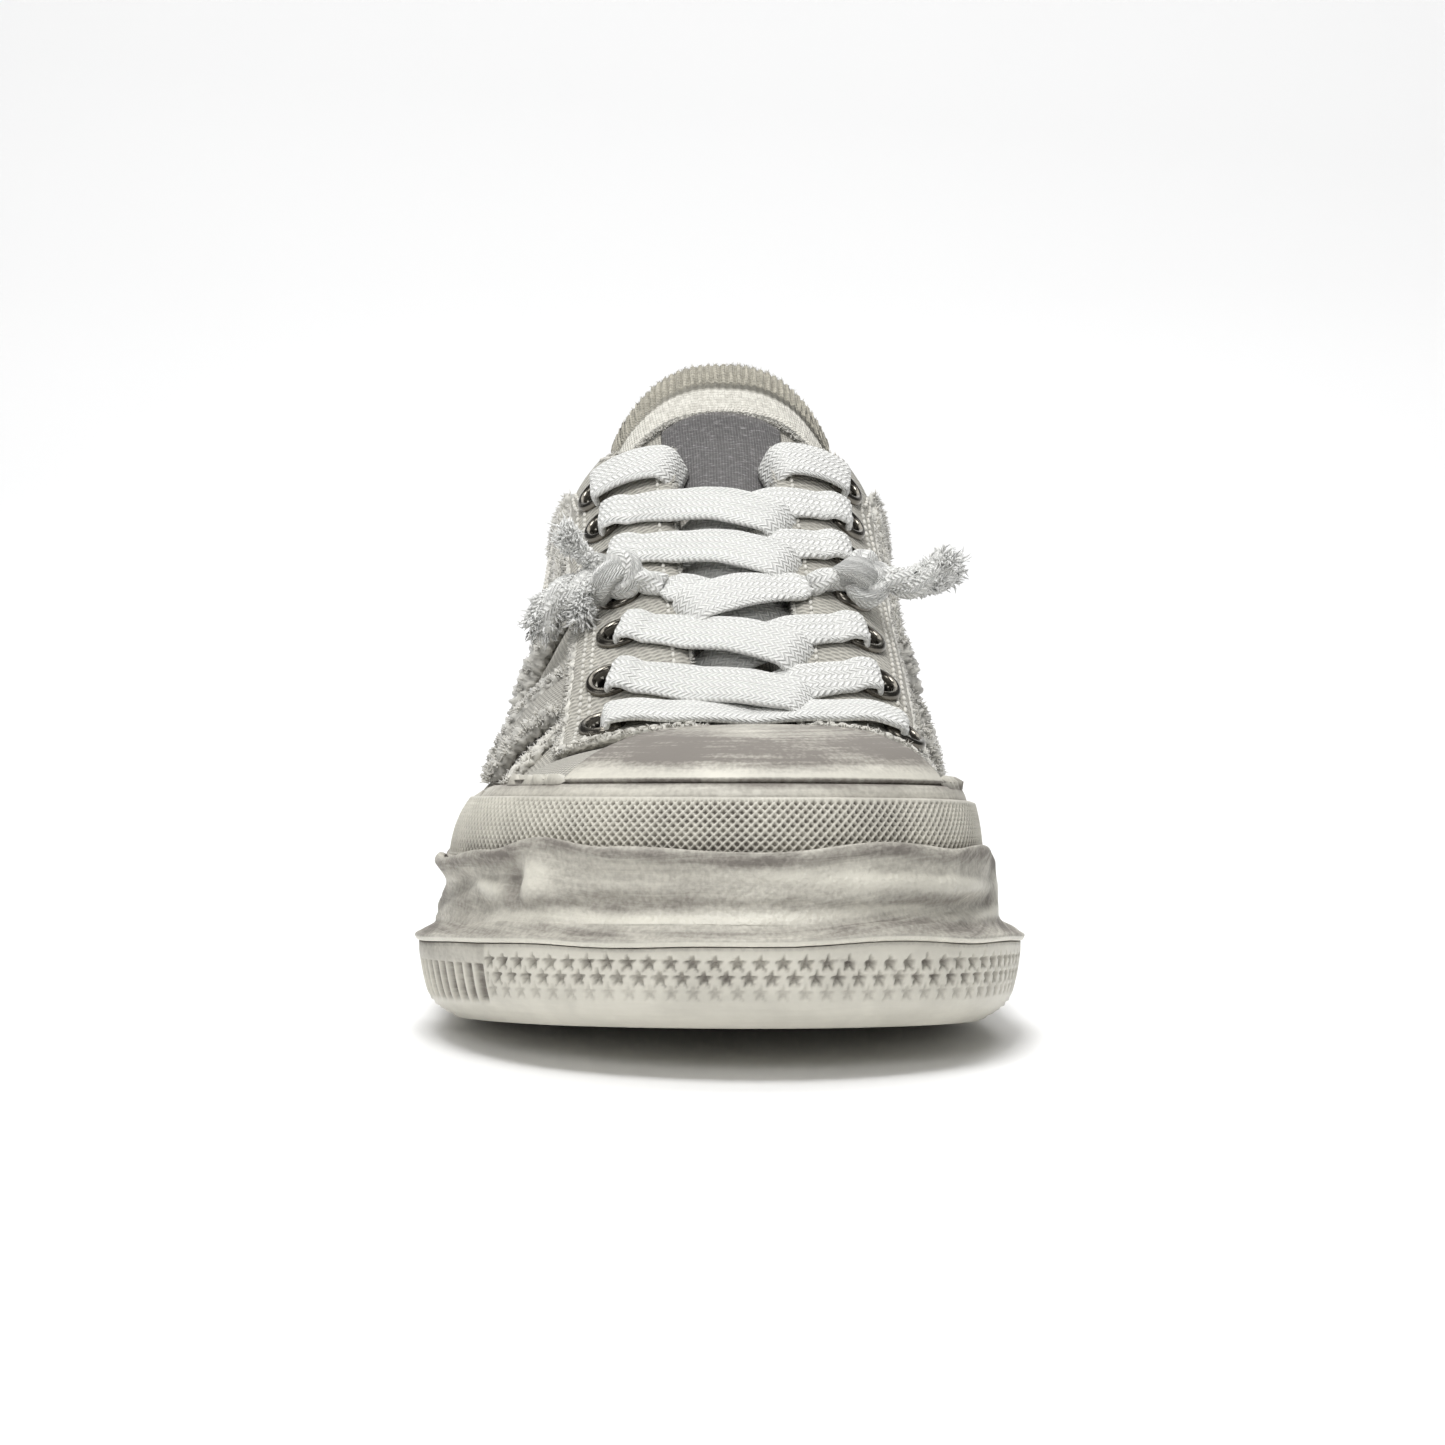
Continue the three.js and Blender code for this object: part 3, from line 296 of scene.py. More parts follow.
class SneakerCloth(bpy.types.PropertyGroup):
    """Sizes and colours of the canvas, its frays and its stitches."""

    canvas: FloatVectorProperty(
        name="Canvas",
        description="Colour of the cream-grey canvas",
        default=(0.575, 0.555, 0.495),
        subtype="COLOR",
    )
    grey: FloatVectorProperty(
        name="Grey canvas",
        description="Colour of the grey panels",
        default=(0.48, 0.465, 0.42),
        subtype="COLOR",
    )
    label: FloatVectorProperty(
        name="Label",
        description="Colour of the bare woven label",
        default=(0.17, 0.165, 0.165),
        subtype="COLOR",
    )
    # Colour of the worn-in stains and of the painted shade laid on the cloth pieces.
    stain_and_shade: FloatVectorProperty(
        name="Stain",
        description="Colour of the worn-in stains",
        default=(0.25, 0.235, 0.21),
        subtype="COLOR",
    )
    stitch_pitch: FloatProperty(
        name="Stitch pitch",
        description="Distance between stitches",
        default=0.0023,
        unit="LENGTH",
    )
    seed: IntProperty(
        name="Fray seed",
        description="Seed of the threads' lengths and directions",
        default=11,
    )


class SneakerLace(bpy.types.PropertyGroup):
    """Sizes and colours of the laces and eyelets."""

    cotton: FloatVectorProperty(
        name="Cotton",
        description="Colour of the lace",
        default=(0.9, 0.9, 0.87),
        subtype="COLOR",
    )
    gunmetal: FloatVectorProperty(
        name="Gunmetal",
        description="Colour of the eyelets",
        default=(0.14, 0.13, 0.112),
        subtype="COLOR",
    )
    width: FloatProperty(
        name="Lace width",
        description="Width of the flat lace",
        default=0.0118,
        unit="LENGTH",
    )
    thickness: FloatProperty(
        name="Lace thickness",
        description="Thickness of the flat lace",
        default=0.0019,
        unit="LENGTH",
    )
    end_diameter: FloatProperty(
        name="End diameter",
        description="Diameter of the twisted free ends",
        default=0.005,
        unit="LENGTH",
    )
    hole: FloatProperty(
        name="Eyelet hole",
        description="Radius of an eyelet's hole",
        default=0.0025,
        unit="LENGTH",
    )
    rim: FloatProperty(
        name="Eyelet rim",
        description="Radius of an eyelet's rolled rim",
        default=0.0049,
        unit="LENGTH",
    )


class SneakerStage(bpy.types.PropertyGroup):
    """The camera, the floor and the lights."""

    distance: FloatProperty(
        name="Camera distance",
        description="From the camera to the point that it looks at",
        default=0.9,
        unit="LENGTH",
    )
    elevation: FloatProperty(
        name="Camera elevation",
        description="Angle of the camera over the horizon",
        default=math.radians(5),
        subtype="ANGLE",
    )
    target: FloatVectorProperty(
        name="Camera target",
        description="The point that the camera looks at",
        default=(0.0007, -0.062, 0.0575),
        subtype="TRANSLATION",
    )
    lens: FloatProperty(
        name="Camera lens",
        description="Focal length on a 36 mm sensor, in millimetres",
        default=113.2,
    )
    floor: FloatVectorProperty(
        name="Floor",
        description="Colour of the pale floor",
        default=(0.92, 0.92, 0.92),
        subtype="COLOR",
    )


# Curves through tables.
def curve_through(xs, ys):
    """A smooth curve through points with no overshoot, as a function that takes an array."""
    xs = np.asarray(xs, float)
    ys = np.asarray(ys, float)
    more = (1,) * (ys.ndim - 1)
    chord = np.diff(ys, axis=0) / np.diff(xs).reshape(-1, *more)
    slope = np.concatenate([chord[:1], np.zeros_like(ys[2:]), chord[-1:]])
    before, after = chord[:-1], chord[1:]
    total = np.where(before + after == 0, 1, before + after)
    slope[1:-1] = np.where(before * after <= 0, 0, 2 * before * after / total)

    def curve(x):
        x = np.clip(np.asarray(x, float), xs[0], xs[-1])
        low = np.clip(np.searchsorted(xs, x) - 1, 0, len(xs) - 2)
        width = (xs[low + 1] - xs[low]).reshape(x.shape + more)
        part = (x - xs[low]).reshape(x.shape + more) / width
        rest = 1 - part
        return (
            ys[low] * rest * rest * (1 + 2 * part)
            + ys[low + 1] * part * part * (1 + 2 * rest)
            + width * slope[low] * part * rest * rest
            - width * slope[low + 1] * part * part * rest
        )

    return curve


WRAP = 6
wrapped = np.arange(-WRAP, ROWS + WRAP + 1)


def around_column(index):
    """A column of the rows round the shoe, closed on itself."""
    return curve_through(wrapped, [AROUND[i % ROWS][index] for i in wrapped])


around_at = around_column(0)
around_heading = curve_through(wrapped, [AROUND[i % ROWS][1] + 360 * (i // ROWS) for i in wrapped])
around_sole = around_column(2)
around_upper = around_column(3)
around_square = around_column(4)
spine_places = [r[0] for r in SPINE]
spine_swing = curve_through(spine_places, [r[1] for r in SPINE])
spine_ridge = curve_through(spine_places, [r[2] for r in SPINE])
spine_collar = curve_through(spine_places, [r[3] for r in SPINE])
spine_throat = curve_through(spine_places, [r[4] for r in SPINE])


def hump(x):
    """A hump that is 1 in the middle and fades to 0 at one width on either side."""
    return np.where(np.abs(x) < 1, (1 + np.cos(np.pi * np.clip(x, -1, 1))) / 2, 0)


def smooth_step(x, low, high):
    """A smooth rise from 0 at low to 1 at high."""
    part = np.clip((x - low) / (high - low), 0, 1)
    return part * part * (3 - 2 * part)


def rows_apart(a, b):
    """Distance between two places round the shoe, in rows, the short way."""
    return (a - b + 1.5 * ROWS) % ROWS - ROWS / 2


def fold(row, column):
    """The sum of the midsole's folds at a row."""
    return sum(f[column] * hump(rows_apart(row, f[0]) / f[1]) for f in FOLDS)


def toe_lift(at):
    """The sole's rise towards the toe: a curve, then a straight slope."""
    bend = SPRING_STRAIGHT - SPRING_START
    slope = TOE_SPRING / (bend / 2 + LENGTH - SPRING_STRAIGHT)
    curved = slope / bend / 2 * np.maximum(0, at - SPRING_START) ** 2
    return np.where(at > SPRING_STRAIGHT, slope * (bend / 2 + at - SPRING_STRAIGHT), curved)


def arch_lift(at):
    """The rise of the sole's arch."""
    return ARCH_RISE * hump((at - ARCH_MIDDLE) / ARCH_HALF_LENGTH)


def place(row, reach, height):
    """Points at a reach from the spine and a height over the flat sole."""
    heading = np.radians(around_heading(row))
    spine_at = around_at(row)
    at = spine_at + reach * np.cos(heading)
    x = spine_swing(spine_at) + reach * np.sin(heading)
    return np.stack(np.broadcast_arrays(x, LENGTH / 2 - at, height + toe_lift(at)), axis=-1)


def last_point(row, turn):
    """Points of the last, turn radians up the wall from the plate towards the ridge."""
    square = around_square(row)
    rise = spine_ridge(around_at(row)) - PLATE_HEIGHT
    scale = (np.abs(np.cos(turn)) ** square + np.abs(np.sin(turn)) ** square) ** (-1 / square)
    reach = around_upper(row) * np.cos(turn) * scale
    return place(row, reach, PLATE_HEIGHT + rise * np.sin(turn) * scale)


def unit(vectors):
    """Vectors of length one."""
    return vectors / np.maximum(np.linalg.norm(vectors, axis=-1, keepdims=True), 1e-9)


def last_normal(row, turn):
    """Directions straight out of the last."""
    along = last_point(row + 0.01, turn) - last_point(row - 0.01, turn)
    up = last_point(row, turn + 0.004) - last_point(row, np.maximum(0, turn - 0.004))
    return unit(np.cross(along, up))


def off_last(row, turn, out):
    """Points that stand off the last."""
    return last_point(row, turn) + last_normal(row, turn) * np.asarray(out)[..., None]


def turn_at_reach(row, reach):
    """How far up the wall a reach from the spine is."""
    square = around_square(row)
    part = np.minimum(reach / around_upper(row), 1)
    return np.arctan2((1 - part**square) ** (1 / square), part)


def turn_at_height(row, height):
    """How far up the wall a height is."""
    square = around_square(row)
    rise = spine_ridge(around_at(row)) - PLATE_HEIGHT
    part = np.clip((height - PLATE_HEIGHT) / rise, 0, 1)
    return np.arctan2(part, (1 - part**square) ** (1 / square))


def rim_turn(row):
    """The upper's edge: the throat in front, the collar behind, higher at the back of the heel."""
    at = around_at(row)
    heading = np.abs((around_heading(row) + 540) % 360 - 180)
    back = np.maximum(0, heading - 90) / 90
    collar = spine_collar(at) + HEEL_TAB_RISE * back * back * (3 - 2 * back)
    return np.minimum(turn_at_reach(row, spine_throat(at)), turn_at_height(row, collar))


def at_height(height):
    """The turn up to one height, as a function of the row."""
    return lambda row: turn_at_height(row, height)


def at_reach(reach):
    """The turn up to one reach, as a function of the row."""
    return lambda row: turn_at_reach(row, reach)


side_rows = {-1: np.linspace(2, 7, 400), 1: np.linspace(18, 13, 400)}
side_ats = {sign: around_at(rows) for sign, rows in side_rows.items()}


def side_row(at, sign):
    """The row of a side (-1 outer, 1 inner) at a distance from the heel."""
    return np.interp(at, side_ats[sign], side_rows[sign])


def instep(at, across, out):
    """Points over the instep, across from the spine (negative on the outer side), and their normals."""
    at, across = np.broadcast_arrays(np.asarray(at, float), np.asarray(across, float))
    row = np.where(across < 0, side_row(at, -1), side_row(at, 1))
    turn = turn_at_reach(row, np.abs(across))
    normal = last_normal(row, turn)
    return last_point(row, turn) + normal * np.asarray(out)[..., None], normal


def bumper_share(row):
    """1 along the toe bumper and 0 behind it."""
    front = smooth_step(row % ROWS, BUMPER_FROM - BUMPER_FADE, BUMPER_FROM)
    return front * (1 - smooth_step(row % ROWS, BUMPER_TO, BUMPER_TO + BUMPER_FADE))


def rows_round(side_step, toe_count, heel_count, front_step=None):
    """Rows all round the shoe, the same distances on both sides, from the outer heel and back to it."""
    ats = np.linspace(HEEL_AT, BALL_AT, round((BALL_AT - HEEL_AT) / side_step) + 1)
    if front_step:
        back = np.linspace(HEEL_AT, FRONT_AT, round((FRONT_AT - HEEL_AT) / side_step) + 1)
        front = np.linspace(FRONT_AT, BALL_AT, round((BALL_AT - FRONT_AT) / front_step) + 1)
        ats = np.concatenate([back[:-1], front])
    dense = np.linspace(6, 24, 3000)
    toe = np.interp(np.linspace(-90, 90, toe_count + 1), around_heading(dense), dense)
    heel = np.interp(np.linspace(90, 270, heel_count + 1), around_heading(dense), dense)
    outer = side_row(ats, -1)
    inner = side_row(ats, 1)[::-1]
    return np.concatenate([outer, toe[1:-1], inner, heel[1:-1], outer[:1] + ROWS])


# Meshes from lattices.
def arc_lengths(points, axis):
    """Distances along one axis of a lattice of points."""
    steps = np.linalg.norm(np.diff(points, axis=axis), axis=-1)
    pad = np.zeros_like(np.take(steps, [0], axis=axis))
    return np.cumsum(np.concatenate([pad, steps], axis=axis), axis=axis)


def run_along(path):
    """Distances along a path."""
    return arc_lengths(path[None], 1)[0]


def left_along(path):
    """Distances left to a path's end."""
    run = run_along(path)
    return run[-1] - run


def lattice_normals(points, closed):
    """Directions straight out of a lattice: along its columns crossed with up its courses."""
    along = np.gradient(points, axis=1)
    if closed:
        along[:, 0] = points[:, 1] - points[:, -2]
        along[:, -1] = along[:, 0]
    return unit(np.cross(along, np.gradient(points, axis=0)))


def lattice_mesh(name, points, marks=None, merge=False, recalculate=False, level=False):
    """A grid whose vertices are moved to a lattice of points, with UVs in millimetres and its marks.

    The UVs run along the lattice, or along X and Y on a level piece.
    """
    courses, columns = points.shape[:2]
    bm = bmesh.new()
    bm.loops.layers.uv.new("cloth")
    bmesh.ops.create_grid(
        bm, x_segments=columns - 1, y_segments=courses - 1, size=0.5, calc_uvs=True
    )
    mesh = bpy.data.meshes.new(name)
    bm.to_mesh(mesh)
    flat = np.empty(len(mesh.vertices) * 3)
    mesh.vertices.foreach_get("co", flat)
    flat = flat.reshape(-1, 3)
    column = np.rint((flat[:, 0] + 0.5) * (columns - 1)).astype(int)
    course = np.rint((flat[:, 1] + 0.5) * (courses - 1)).astype(int)
    mesh.vertices.foreach_set("co", ((points - MIDDLE) * MM)[course, column].ravel())
    cloth = points[..., :2] if level else np.stack([arc_lengths(points, 1), arc_lengths(points, 0)], axis=-1)
    cloth = cloth[course, column]
    corner = np.empty(len(mesh.loops), int)
    mesh.loops.foreach_get("vertex_index", corner)
    mesh.uv_layers["cloth"].data.foreach_set("uv", cloth[corner].ravel())
    for mark, values in (marks or {}).items():
        layer = mesh.attributes.new(mark, "FLOAT", "POINT")
        layer.data.foreach_set("value", np.broadcast_to(values, points.shape[:2])[course, column])
    bm.clear()
    bm.from_mesh(mesh)
    if merge:
        bmesh.ops.remove_doubles(bm, verts=bm.verts, dist=0.004 * MM)
    if recalculate:
        bmesh.ops.recalc_face_normals(bm, faces=bm.faces)
    bm.to_mesh(mesh)
    bm.free()
    return mesh


def finish_piece(name, mesh, finish, nodes=(), wall=0.0):
    """Makes a piece of a mesh: smooth, in its material, riding on the body, in place of CAD nodes."""
    mesh.materials.clear()
    mesh.materials.append(finish_of(finish))
    mesh.shade_smooth()
    piece = bpy.data.objects.new(name, mesh)
    bpy.context.scene.collection.objects.link(piece)
    if wall:
        solidify = piece.modifiers.new("wall", "SOLIDIFY")
        solidify.thickness = wall * MM
        solidify.offset = -1
    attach(piece, BODY)
    if nodes:
        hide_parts(*nodes)
    return piece


def lay_piece(name, points, marks, finish, slot, nodes=(), wall=0.0, **how):
    """Lays a lattice as a mesh and makes a piece of it."""
    return finish_piece(name, lattice_mesh(name, points, marks, **how), finish, nodes, wall)


def sweep(path, up, across_of, up_of):
    """A lattice of points swept along a path whose section is given by its sizes across and up."""
    tangent = unit(np.gradient(path, axis=0))
    side = unit(np.cross(up, tangent))
    up = unit(np.cross(tangent, side))
    return path[None] + across_of[..., None] * side[None] + up_of[..., None] * up[None]


def through(points, count):
    """A smooth path of count points through a few."""
    points = np.asarray(points, float)
    places = np.linspace(0, len(points) - 1, count * 8)
    spread = np.pad(points, ((1, 1), (0, 0)), mode="reflect", reflect_type="odd")
    low = np.minimum(places.astype(int), len(points) - 2)
    part = (places - low)[:, None]
    a, b, c, d = (spread[low + k] for k in range(4))
    curve = 0.5 * (
        2 * b + (c - a) * part + (2 * a - 5 * b + 4 * c - d) * part**2 + (3 * b - a - 3 * c + d) * part**3
    )
    run = run_along(curve)
    even = np.linspace(0, run[-1], count)
    return np.stack([np.interp(even, run, curve[:, k]) for k in range(3)], axis=1)


# Finishes.
MIX_COLOURS = (6, 7)  # the mix node's sockets for colours
MIX_RESULT = 2


class Finish:
    """A procedural material that is put together node by node."""

    def __init__(self, name, roughness, metallic=0.0, specular=0.4):
        self.material = bpy.data.materials.new(name)
        self.material.use_nodes = True
        self.tree = self.material.node_tree
        self.shader = self.tree.nodes["Principled BSDF"]
        self.shader.inputs["Roughness"].default_value = roughness
        self.shader.inputs["Metallic"].default_value = metallic
        self.shader.inputs["Specular IOR Level"].default_value = specular
        self.height = None

    def feed(self, node, socket, value):
        """Links a socket or sets its value."""
        if isinstance(value, bpy.types.NodeSocket):
            self.tree.links.new(value, node.inputs[socket])
        else:
            node.inputs[socket].default_value = value

    def add(self, kind, inputs, **settings):
        """The outputs of a new node with its settings and inputs."""
        node = self.tree.nodes.new(kind)
        for setting, value in settings.items():
            setattr(node, setting, value)
        for socket, value in inputs.items():
            self.feed(node, socket, value)
        return node.outputs

    def place(self, kind="Object", scale=(1, 1, 1), turn=0.0):
        """Object coordinates in metres, or the piece's own UV map in millimetres."""
        if kind == "Object":
            source = self.add("ShaderNodeTexCoord", {})["Object"]
        else:
            source = self.add("ShaderNodeUVMap", {}, uv_map=kind)["UV"]
        inputs = {"Vector": source, "Scale": scale, "Rotation": (0, 0, turn)}
        return self.add("ShaderNodeMapping", inputs)["Vector"]

    def mark(self, name):
        """A value that the piece carries on its points."""
        return self.add("ShaderNodeAttribute", {}, attribute_name=name)["Fac"]

    def noise(self, place, scale, detail=3.0, roughness=0.55, distortion=0.0):
        """Soft clouds, about 1 over scale in size."""
        inputs = {"Vector": place, "Scale": scale, "Detail": detail}
        inputs.update({"Roughness": roughness, "Distortion": distortion})
        return self.add("ShaderNodeTexNoise", inputs)["Fac"]

    def cells(self, place, scale):
        """Distances in a field of soft cells, for grain."""
        inputs = {"Vector": place, "Scale": scale}
        return self.add("ShaderNodeTexVoronoi", inputs, feature="SMOOTH_F1")["Distance"]

    def bands(self, place, scale, direction="X", distortion=0.0):
        """Even ribs along one direction."""
        inputs = {"Vector": place, "Scale": scale, "Distortion": distortion, "Detail Scale": 2.0}
        settings = {"wave_type": "BANDS", "bands_direction": direction, "wave_profile": "SIN"}
        return self.add("ShaderNodeTexWave", inputs, **settings)["Fac"]

    def sum(self, operation, first, second=0.0, clamp=False):
        """Arithmetic on two values."""
        inputs = {0: first, 1: second}
        return self.add("ShaderNodeMath", inputs, operation=operation, use_clamp=clamp)["Value"]

    def spread(self, value, low, high, to_low=0.0, to_high=1.0):
        """A value stretched from one range to another, smoothly."""
        inputs = {"Value": value, "From Min": low, "From Max": high, "To Min": to_low, "To Max": to_high}
        return self.add("ShaderNodeMapRange", inputs, interpolation_type="SMOOTHSTEP")["Result"]

    def blend(self, share, first, second):
        """Two colours mixed by a share."""
        inputs = {"Factor": share}
        for socket, value in zip(MIX_COLOURS, (first, second)):
            inputs[socket] = value if isinstance(value, bpy.types.NodeSocket) else (*value, 1)
        return self.add("ShaderNodeMix", inputs, data_type="RGBA")[MIX_RESULT]

    def plain(self):
        """The base colour so far."""
        return self.shader.inputs["Base Color"].links[0].from_socket

    def colour(self, value):
        """The base colour."""
        self.feed(self.shader, "Base Color", value)

    def rough(self, value):
        """Roughness that varies over the surface."""
        self.feed(self.shader, "Roughness", value)

    def sheen(self, weight):
        """Soft light off loose fibres."""
        self.shader.inputs["Sheen Weight"].default_value = weight

    def bump(self, height, depth, strength=1.0):
        """Relief of a depth in millimetres, on top of any relief so far."""
        inputs = {"Strength": strength, "Distance": depth * MM, "Height": height}
        if self.height is not None:
            inputs["Normal"] = self.height
        self.height = self.add("ShaderNodeBump", inputs)["Normal"]
        self.feed(self.shader, "Normal", self.height)


def darker(colour, share):
    """A colour made darker by a share."""
    return tuple(c * (1 - share) for c in colour)


def brighter(colour, times):
    """A colour made brighter."""
    return tuple(min(1, c * times) for c in colour)


def dirty_shaded_rubber(name, grain_depth, speckle):
    """Cream rubber darkened where the piece is marked, with rubbed-in dirt and painted shade, under a
    leather-like grain.
    """
    sizes = bpy.context.scene.sneaker_rubber
    finish = Finish(name, 0.55)
    place_at = finish.place()
    clouds = finish.noise(place_at, 70, 4, 0.55, 0.3)
    streaks = finish.noise(finish.place("cloth", scale=(0.035, 0.5, 1)), 1.0, 5, 0.7, 0.5)
    grain = finish.noise(place_at, 1100, 2, 0.5)
    worms = finish.cells(place_at, 800)
    breakup = finish.sum("ADD", finish.sum("MULTIPLY", clouds, 0.4), finish.sum("MULTIPLY", streaks, 0.6))
    dirt = finish.sum("MULTIPLY", finish.mark("dirt"), finish.spread(breakup, 0.3, 0.68, 0.55, 1.25))
    pores = finish.sum("MULTIPLY", finish.spread(grain, 0.3, 0.7, -1.0, 1.0), speckle)
    share = finish.sum("ADD", dirt, finish.sum("MULTIPLY", pores, finish.spread(dirt, 0.05, 0.4)), clamp=True)
    warm = finish.blend(finish.spread(clouds, 0.35, 0.7), sizes.cream, darker(sizes.cream, 0.12))
    finish.colour(finish.blend(finish.sum("MULTIPLY", share, 0.92), warm, sizes.dirt))
    finish.rough(finish.spread(share, 0.0, 0.8, 0.42, 0.72))
    finish.bump(grain, grain_depth)
    finish.bump(worms, grain_depth * 0.8)
    finish.bump(clouds, 0.25, 0.5)
    return finish


def woven_cloth(name, tone, across, along, turn, depth, twill=False):
    """Canvas: crossing yarns on the piece's own map, worn-in stains and painted shade where the piece is
    marked, and a fuzz of loose fibres.

    The tone is a colour, or the name of one of the cloth's colours.
    """
    sizes = bpy.context.scene.sneaker_cloth
    if isinstance(tone, str):
        tone = getattr(sizes, tone)
    finish = Finish(name, 0.95, specular=0.15)
    cloth = finish.place("cloth", turn=turn)
    warp = finish.bands(cloth, across, "X", 0.6)
    weft = finish.bands(cloth, along, "DIAGONAL" if twill else "Y", 0.6)
    weave = finish.sum("ADD", finish.sum("MULTIPLY", warp, 0.6), finish.sum("MULTIPLY", weft, 0.4))
    place_at = finish.place()
    clouds = finish.noise(place_at, 60, 5, 0.6, 0.5)
    fuzz = finish.noise(place_at, 2200, 2, 0.6)
    stain_and_shade = finish.sum("MULTIPLY", finish.mark("dirt"), finish.spread(clouds, 0.3, 0.65, 0.3, 1.1))
    yarn = finish.blend(finish.spread(weave, 0.2, 0.8), darker(tone, 0.45), tone)
    yarn = finish.blend(finish.spread(clouds, 0.42, 0.75, 0.0, 0.45), yarn, darker(tone, 0.3))
    yarn = finish.blend(finish.spread(fuzz, 0.52, 0.75, 0.0, 0.35), yarn, brighter(tone, 1.3))
    finish.colour(finish.blend(finish.sum("MULTIPLY", stain_and_shade, 0.75, clamp=True), yarn, sizes.stain_and_shade))
    finish.bump(weave, depth)
    finish.bump(fuzz, 0.12, 0.7)
    finish.sheen(0.12)
    return finish


def cream_canvas(name):
    """Canvas of the tongue, with its grey and cream bands marked along the top."""
    finish = woven_cloth(name, "canvas", 0.42, 0.42, 0.0, 0.25)
    plain = finish.plain()
    fuzz = finish.noise(finish.place(), 900, 3)
    pale = finish.blend(finish.spread(fuzz, 0.35, 0.65), (0.62, 0.6, 0.54), (0.78, 0.76, 0.69))
    beige = (0.56, 0.53, 0.445)
    grey = finish.blend(finish.spread(fuzz, 0.35, 0.65), beige, darker(beige, 0.3))
    banded = finish.blend(finish.mark("pale_band"), plain, pale)
    bands = finish.blend(finish.mark("grey_band"), banded, grey)
    finish.colour(finish.blend(finish.mark("rib"), bands, darker(beige, 0.6)))
    return finish


def label_cloth(name):
    """Mottled dark weave of the bare label."""
    tone = bpy.context.scene.sneaker_cloth.label
    finish = woven_cloth(name, "label", 0.5, 0.7, 0.0, 0.22)
    plain = finish.plain()
    flecks = finish.noise(finish.place("cloth", scale=(0.5, 1.5, 1)), 1.1, 5, 0.75)
    mottled = finish.blend(finish.spread(flecks, 0.3, 0.5), darker(tone, 0.5), plain)
    finish.colour(finish.blend(finish.spread(flecks, 0.52, 0.68, 0.0, 0.8), mottled, brighter(tone, 2.6)))
    return finish


def lace_cotton(name):
    """White tubular lace: rows of small slanted stitches along it."""
    cotton = bpy.context.scene.sneaker_lace.cotton
    finish = Finish(name, 0.9, specular=0.2)
    rows = finish.bands(finish.place("cloth"), 0.13, "Y")
    left = finish.bands(finish.place("cloth"), 0.5, "DIAGONAL", 0.2)
    right = finish.bands(finish.place("cloth", scale=(1, -1, 1)), 0.5, "DIAGONAL", 0.2)
    lean = finish.spread(rows, 0.42, 0.58)
    leftward = finish.sum("MULTIPLY", left, lean)
    rightward = finish.sum("MULTIPLY", right, finish.sum("SUBTRACT", 1.0, lean))
    knit = finish.sum("ADD", leftward, rightward)
    fuzz = finish.noise(finish.place(), 1800, 2, 0.6)
    clouds = finish.noise(finish.place(), 120, 3)
    base = finish.blend(finish.spread(knit, 0.1, 0.7), darker(cotton, 0.2), cotton)
    base = finish.blend(finish.spread(clouds, 0.5, 0.8, 0.0, 0.25), base, darker(cotton, 0.3))
    finish.colour(base)
    finish.bump(knit, 0.35)
    finish.bump(fuzz, 0.1, 0.6)
    finish.sheen(0.15)
    return finish


def loose_thread(name, tone):
    """Frayed cotton."""
    finish = Finish(name, 0.95, specular=0.1)
    clouds = finish.noise(finish.place(), 500, 3)
    finish.colour(finish.blend(finish.spread(clouds, 0.3, 0.7), darker(tone, 0.25), tone))
    finish.bump(finish.noise(finish.place(), 5000, 1), 0.05)
    finish.sheen(0.5)
    return finish


def nubby_roll(name, tone):
    """Worn terry-like fray: pale nubs with painted shade in the hollows between them."""
    finish = loose_thread(name, tone)
    finish.colour(finish.blend(finish.mark("deep"), finish.plain(), darker(tone, 0.5)))
    return finish


def gunmetal(name):
    """Dark polished metal with fine wear, and the inside of each hole painted near-black as painted shade."""
    tone = bpy.context.scene.sneaker_lace.gunmetal
    finish = Finish(name, 0.2, 1.0, 0.5)
    wear = finish.noise(finish.place(), 260, 4, 0.6)
    metal = finish.blend(finish.spread(wear, 0.5, 0.75, 0.0, 0.6), tone, brighter(tone, 1.8))
    # Near-black inside the hole: painted shade.
    finish.colour(finish.blend(finish.mark("hole"), metal, (0.012, 0.011, 0.01)))
    finish.rough(finish.sum("MAXIMUM", finish.spread(wear, 0.3, 0.7, 0.18, 0.28), finish.mark("hole")))
    return finish


GREY_COTTON = (0.7, 0.685, 0.635)
# How each finish is made, and its sizes: grain and speckle, tone and yarns across and along, or tone.
FINISHES = {
    "outsole_rubber": (dirty_shaded_rubber, 0.05, 0.05),
    "midsole_rubber": (dirty_shaded_rubber, 0.3, 0.1),
    "foxing_rubber": (dirty_shaded_rubber, 0.06, 0.1),
    "cap_rubber": (dirty_shaded_rubber, 0.04, 0.12),
    "canvas": (woven_cloth, "canvas", 0.25, 0.36, 0.0, 0.4),
    "twill_canvas": (woven_cloth, "canvas", 0.26, 0.3, 0.35, 0.45, True),
    "grey_canvas": (woven_cloth, "grey", 0.34, 0.4, 0.0, 0.22),
    "cream_canvas": (cream_canvas,),
    "insole_cloth": (woven_cloth, (0.55, 0.53, 0.47), 0.5, 0.5, 0.0, 0.15),
    "label_cloth": (label_cloth,),
    "lace_cotton": (lace_cotton,),
    "pale_roll": (nubby_roll, (0.82, 0.8, 0.73)),
    "grey_roll": (nubby_roll, GREY_COTTON),
    "pale_thread": (loose_thread, (0.76, 0.74, 0.68)),
    "grey_thread": (loose_thread, GREY_COTTON),
    "white_thread": (loose_thread, (0.97, 0.97, 0.945)),
    "gunmetal": (gunmetal,),
}
finishes = {}


def finish_of(name):
    """A finish, made when it is first asked for."""
    if name not in finishes:
        make, *sizes = FINISHES[name]
        finishes[name] = make(name.replace("_", " "), *sizes).material
    return finishes[name]


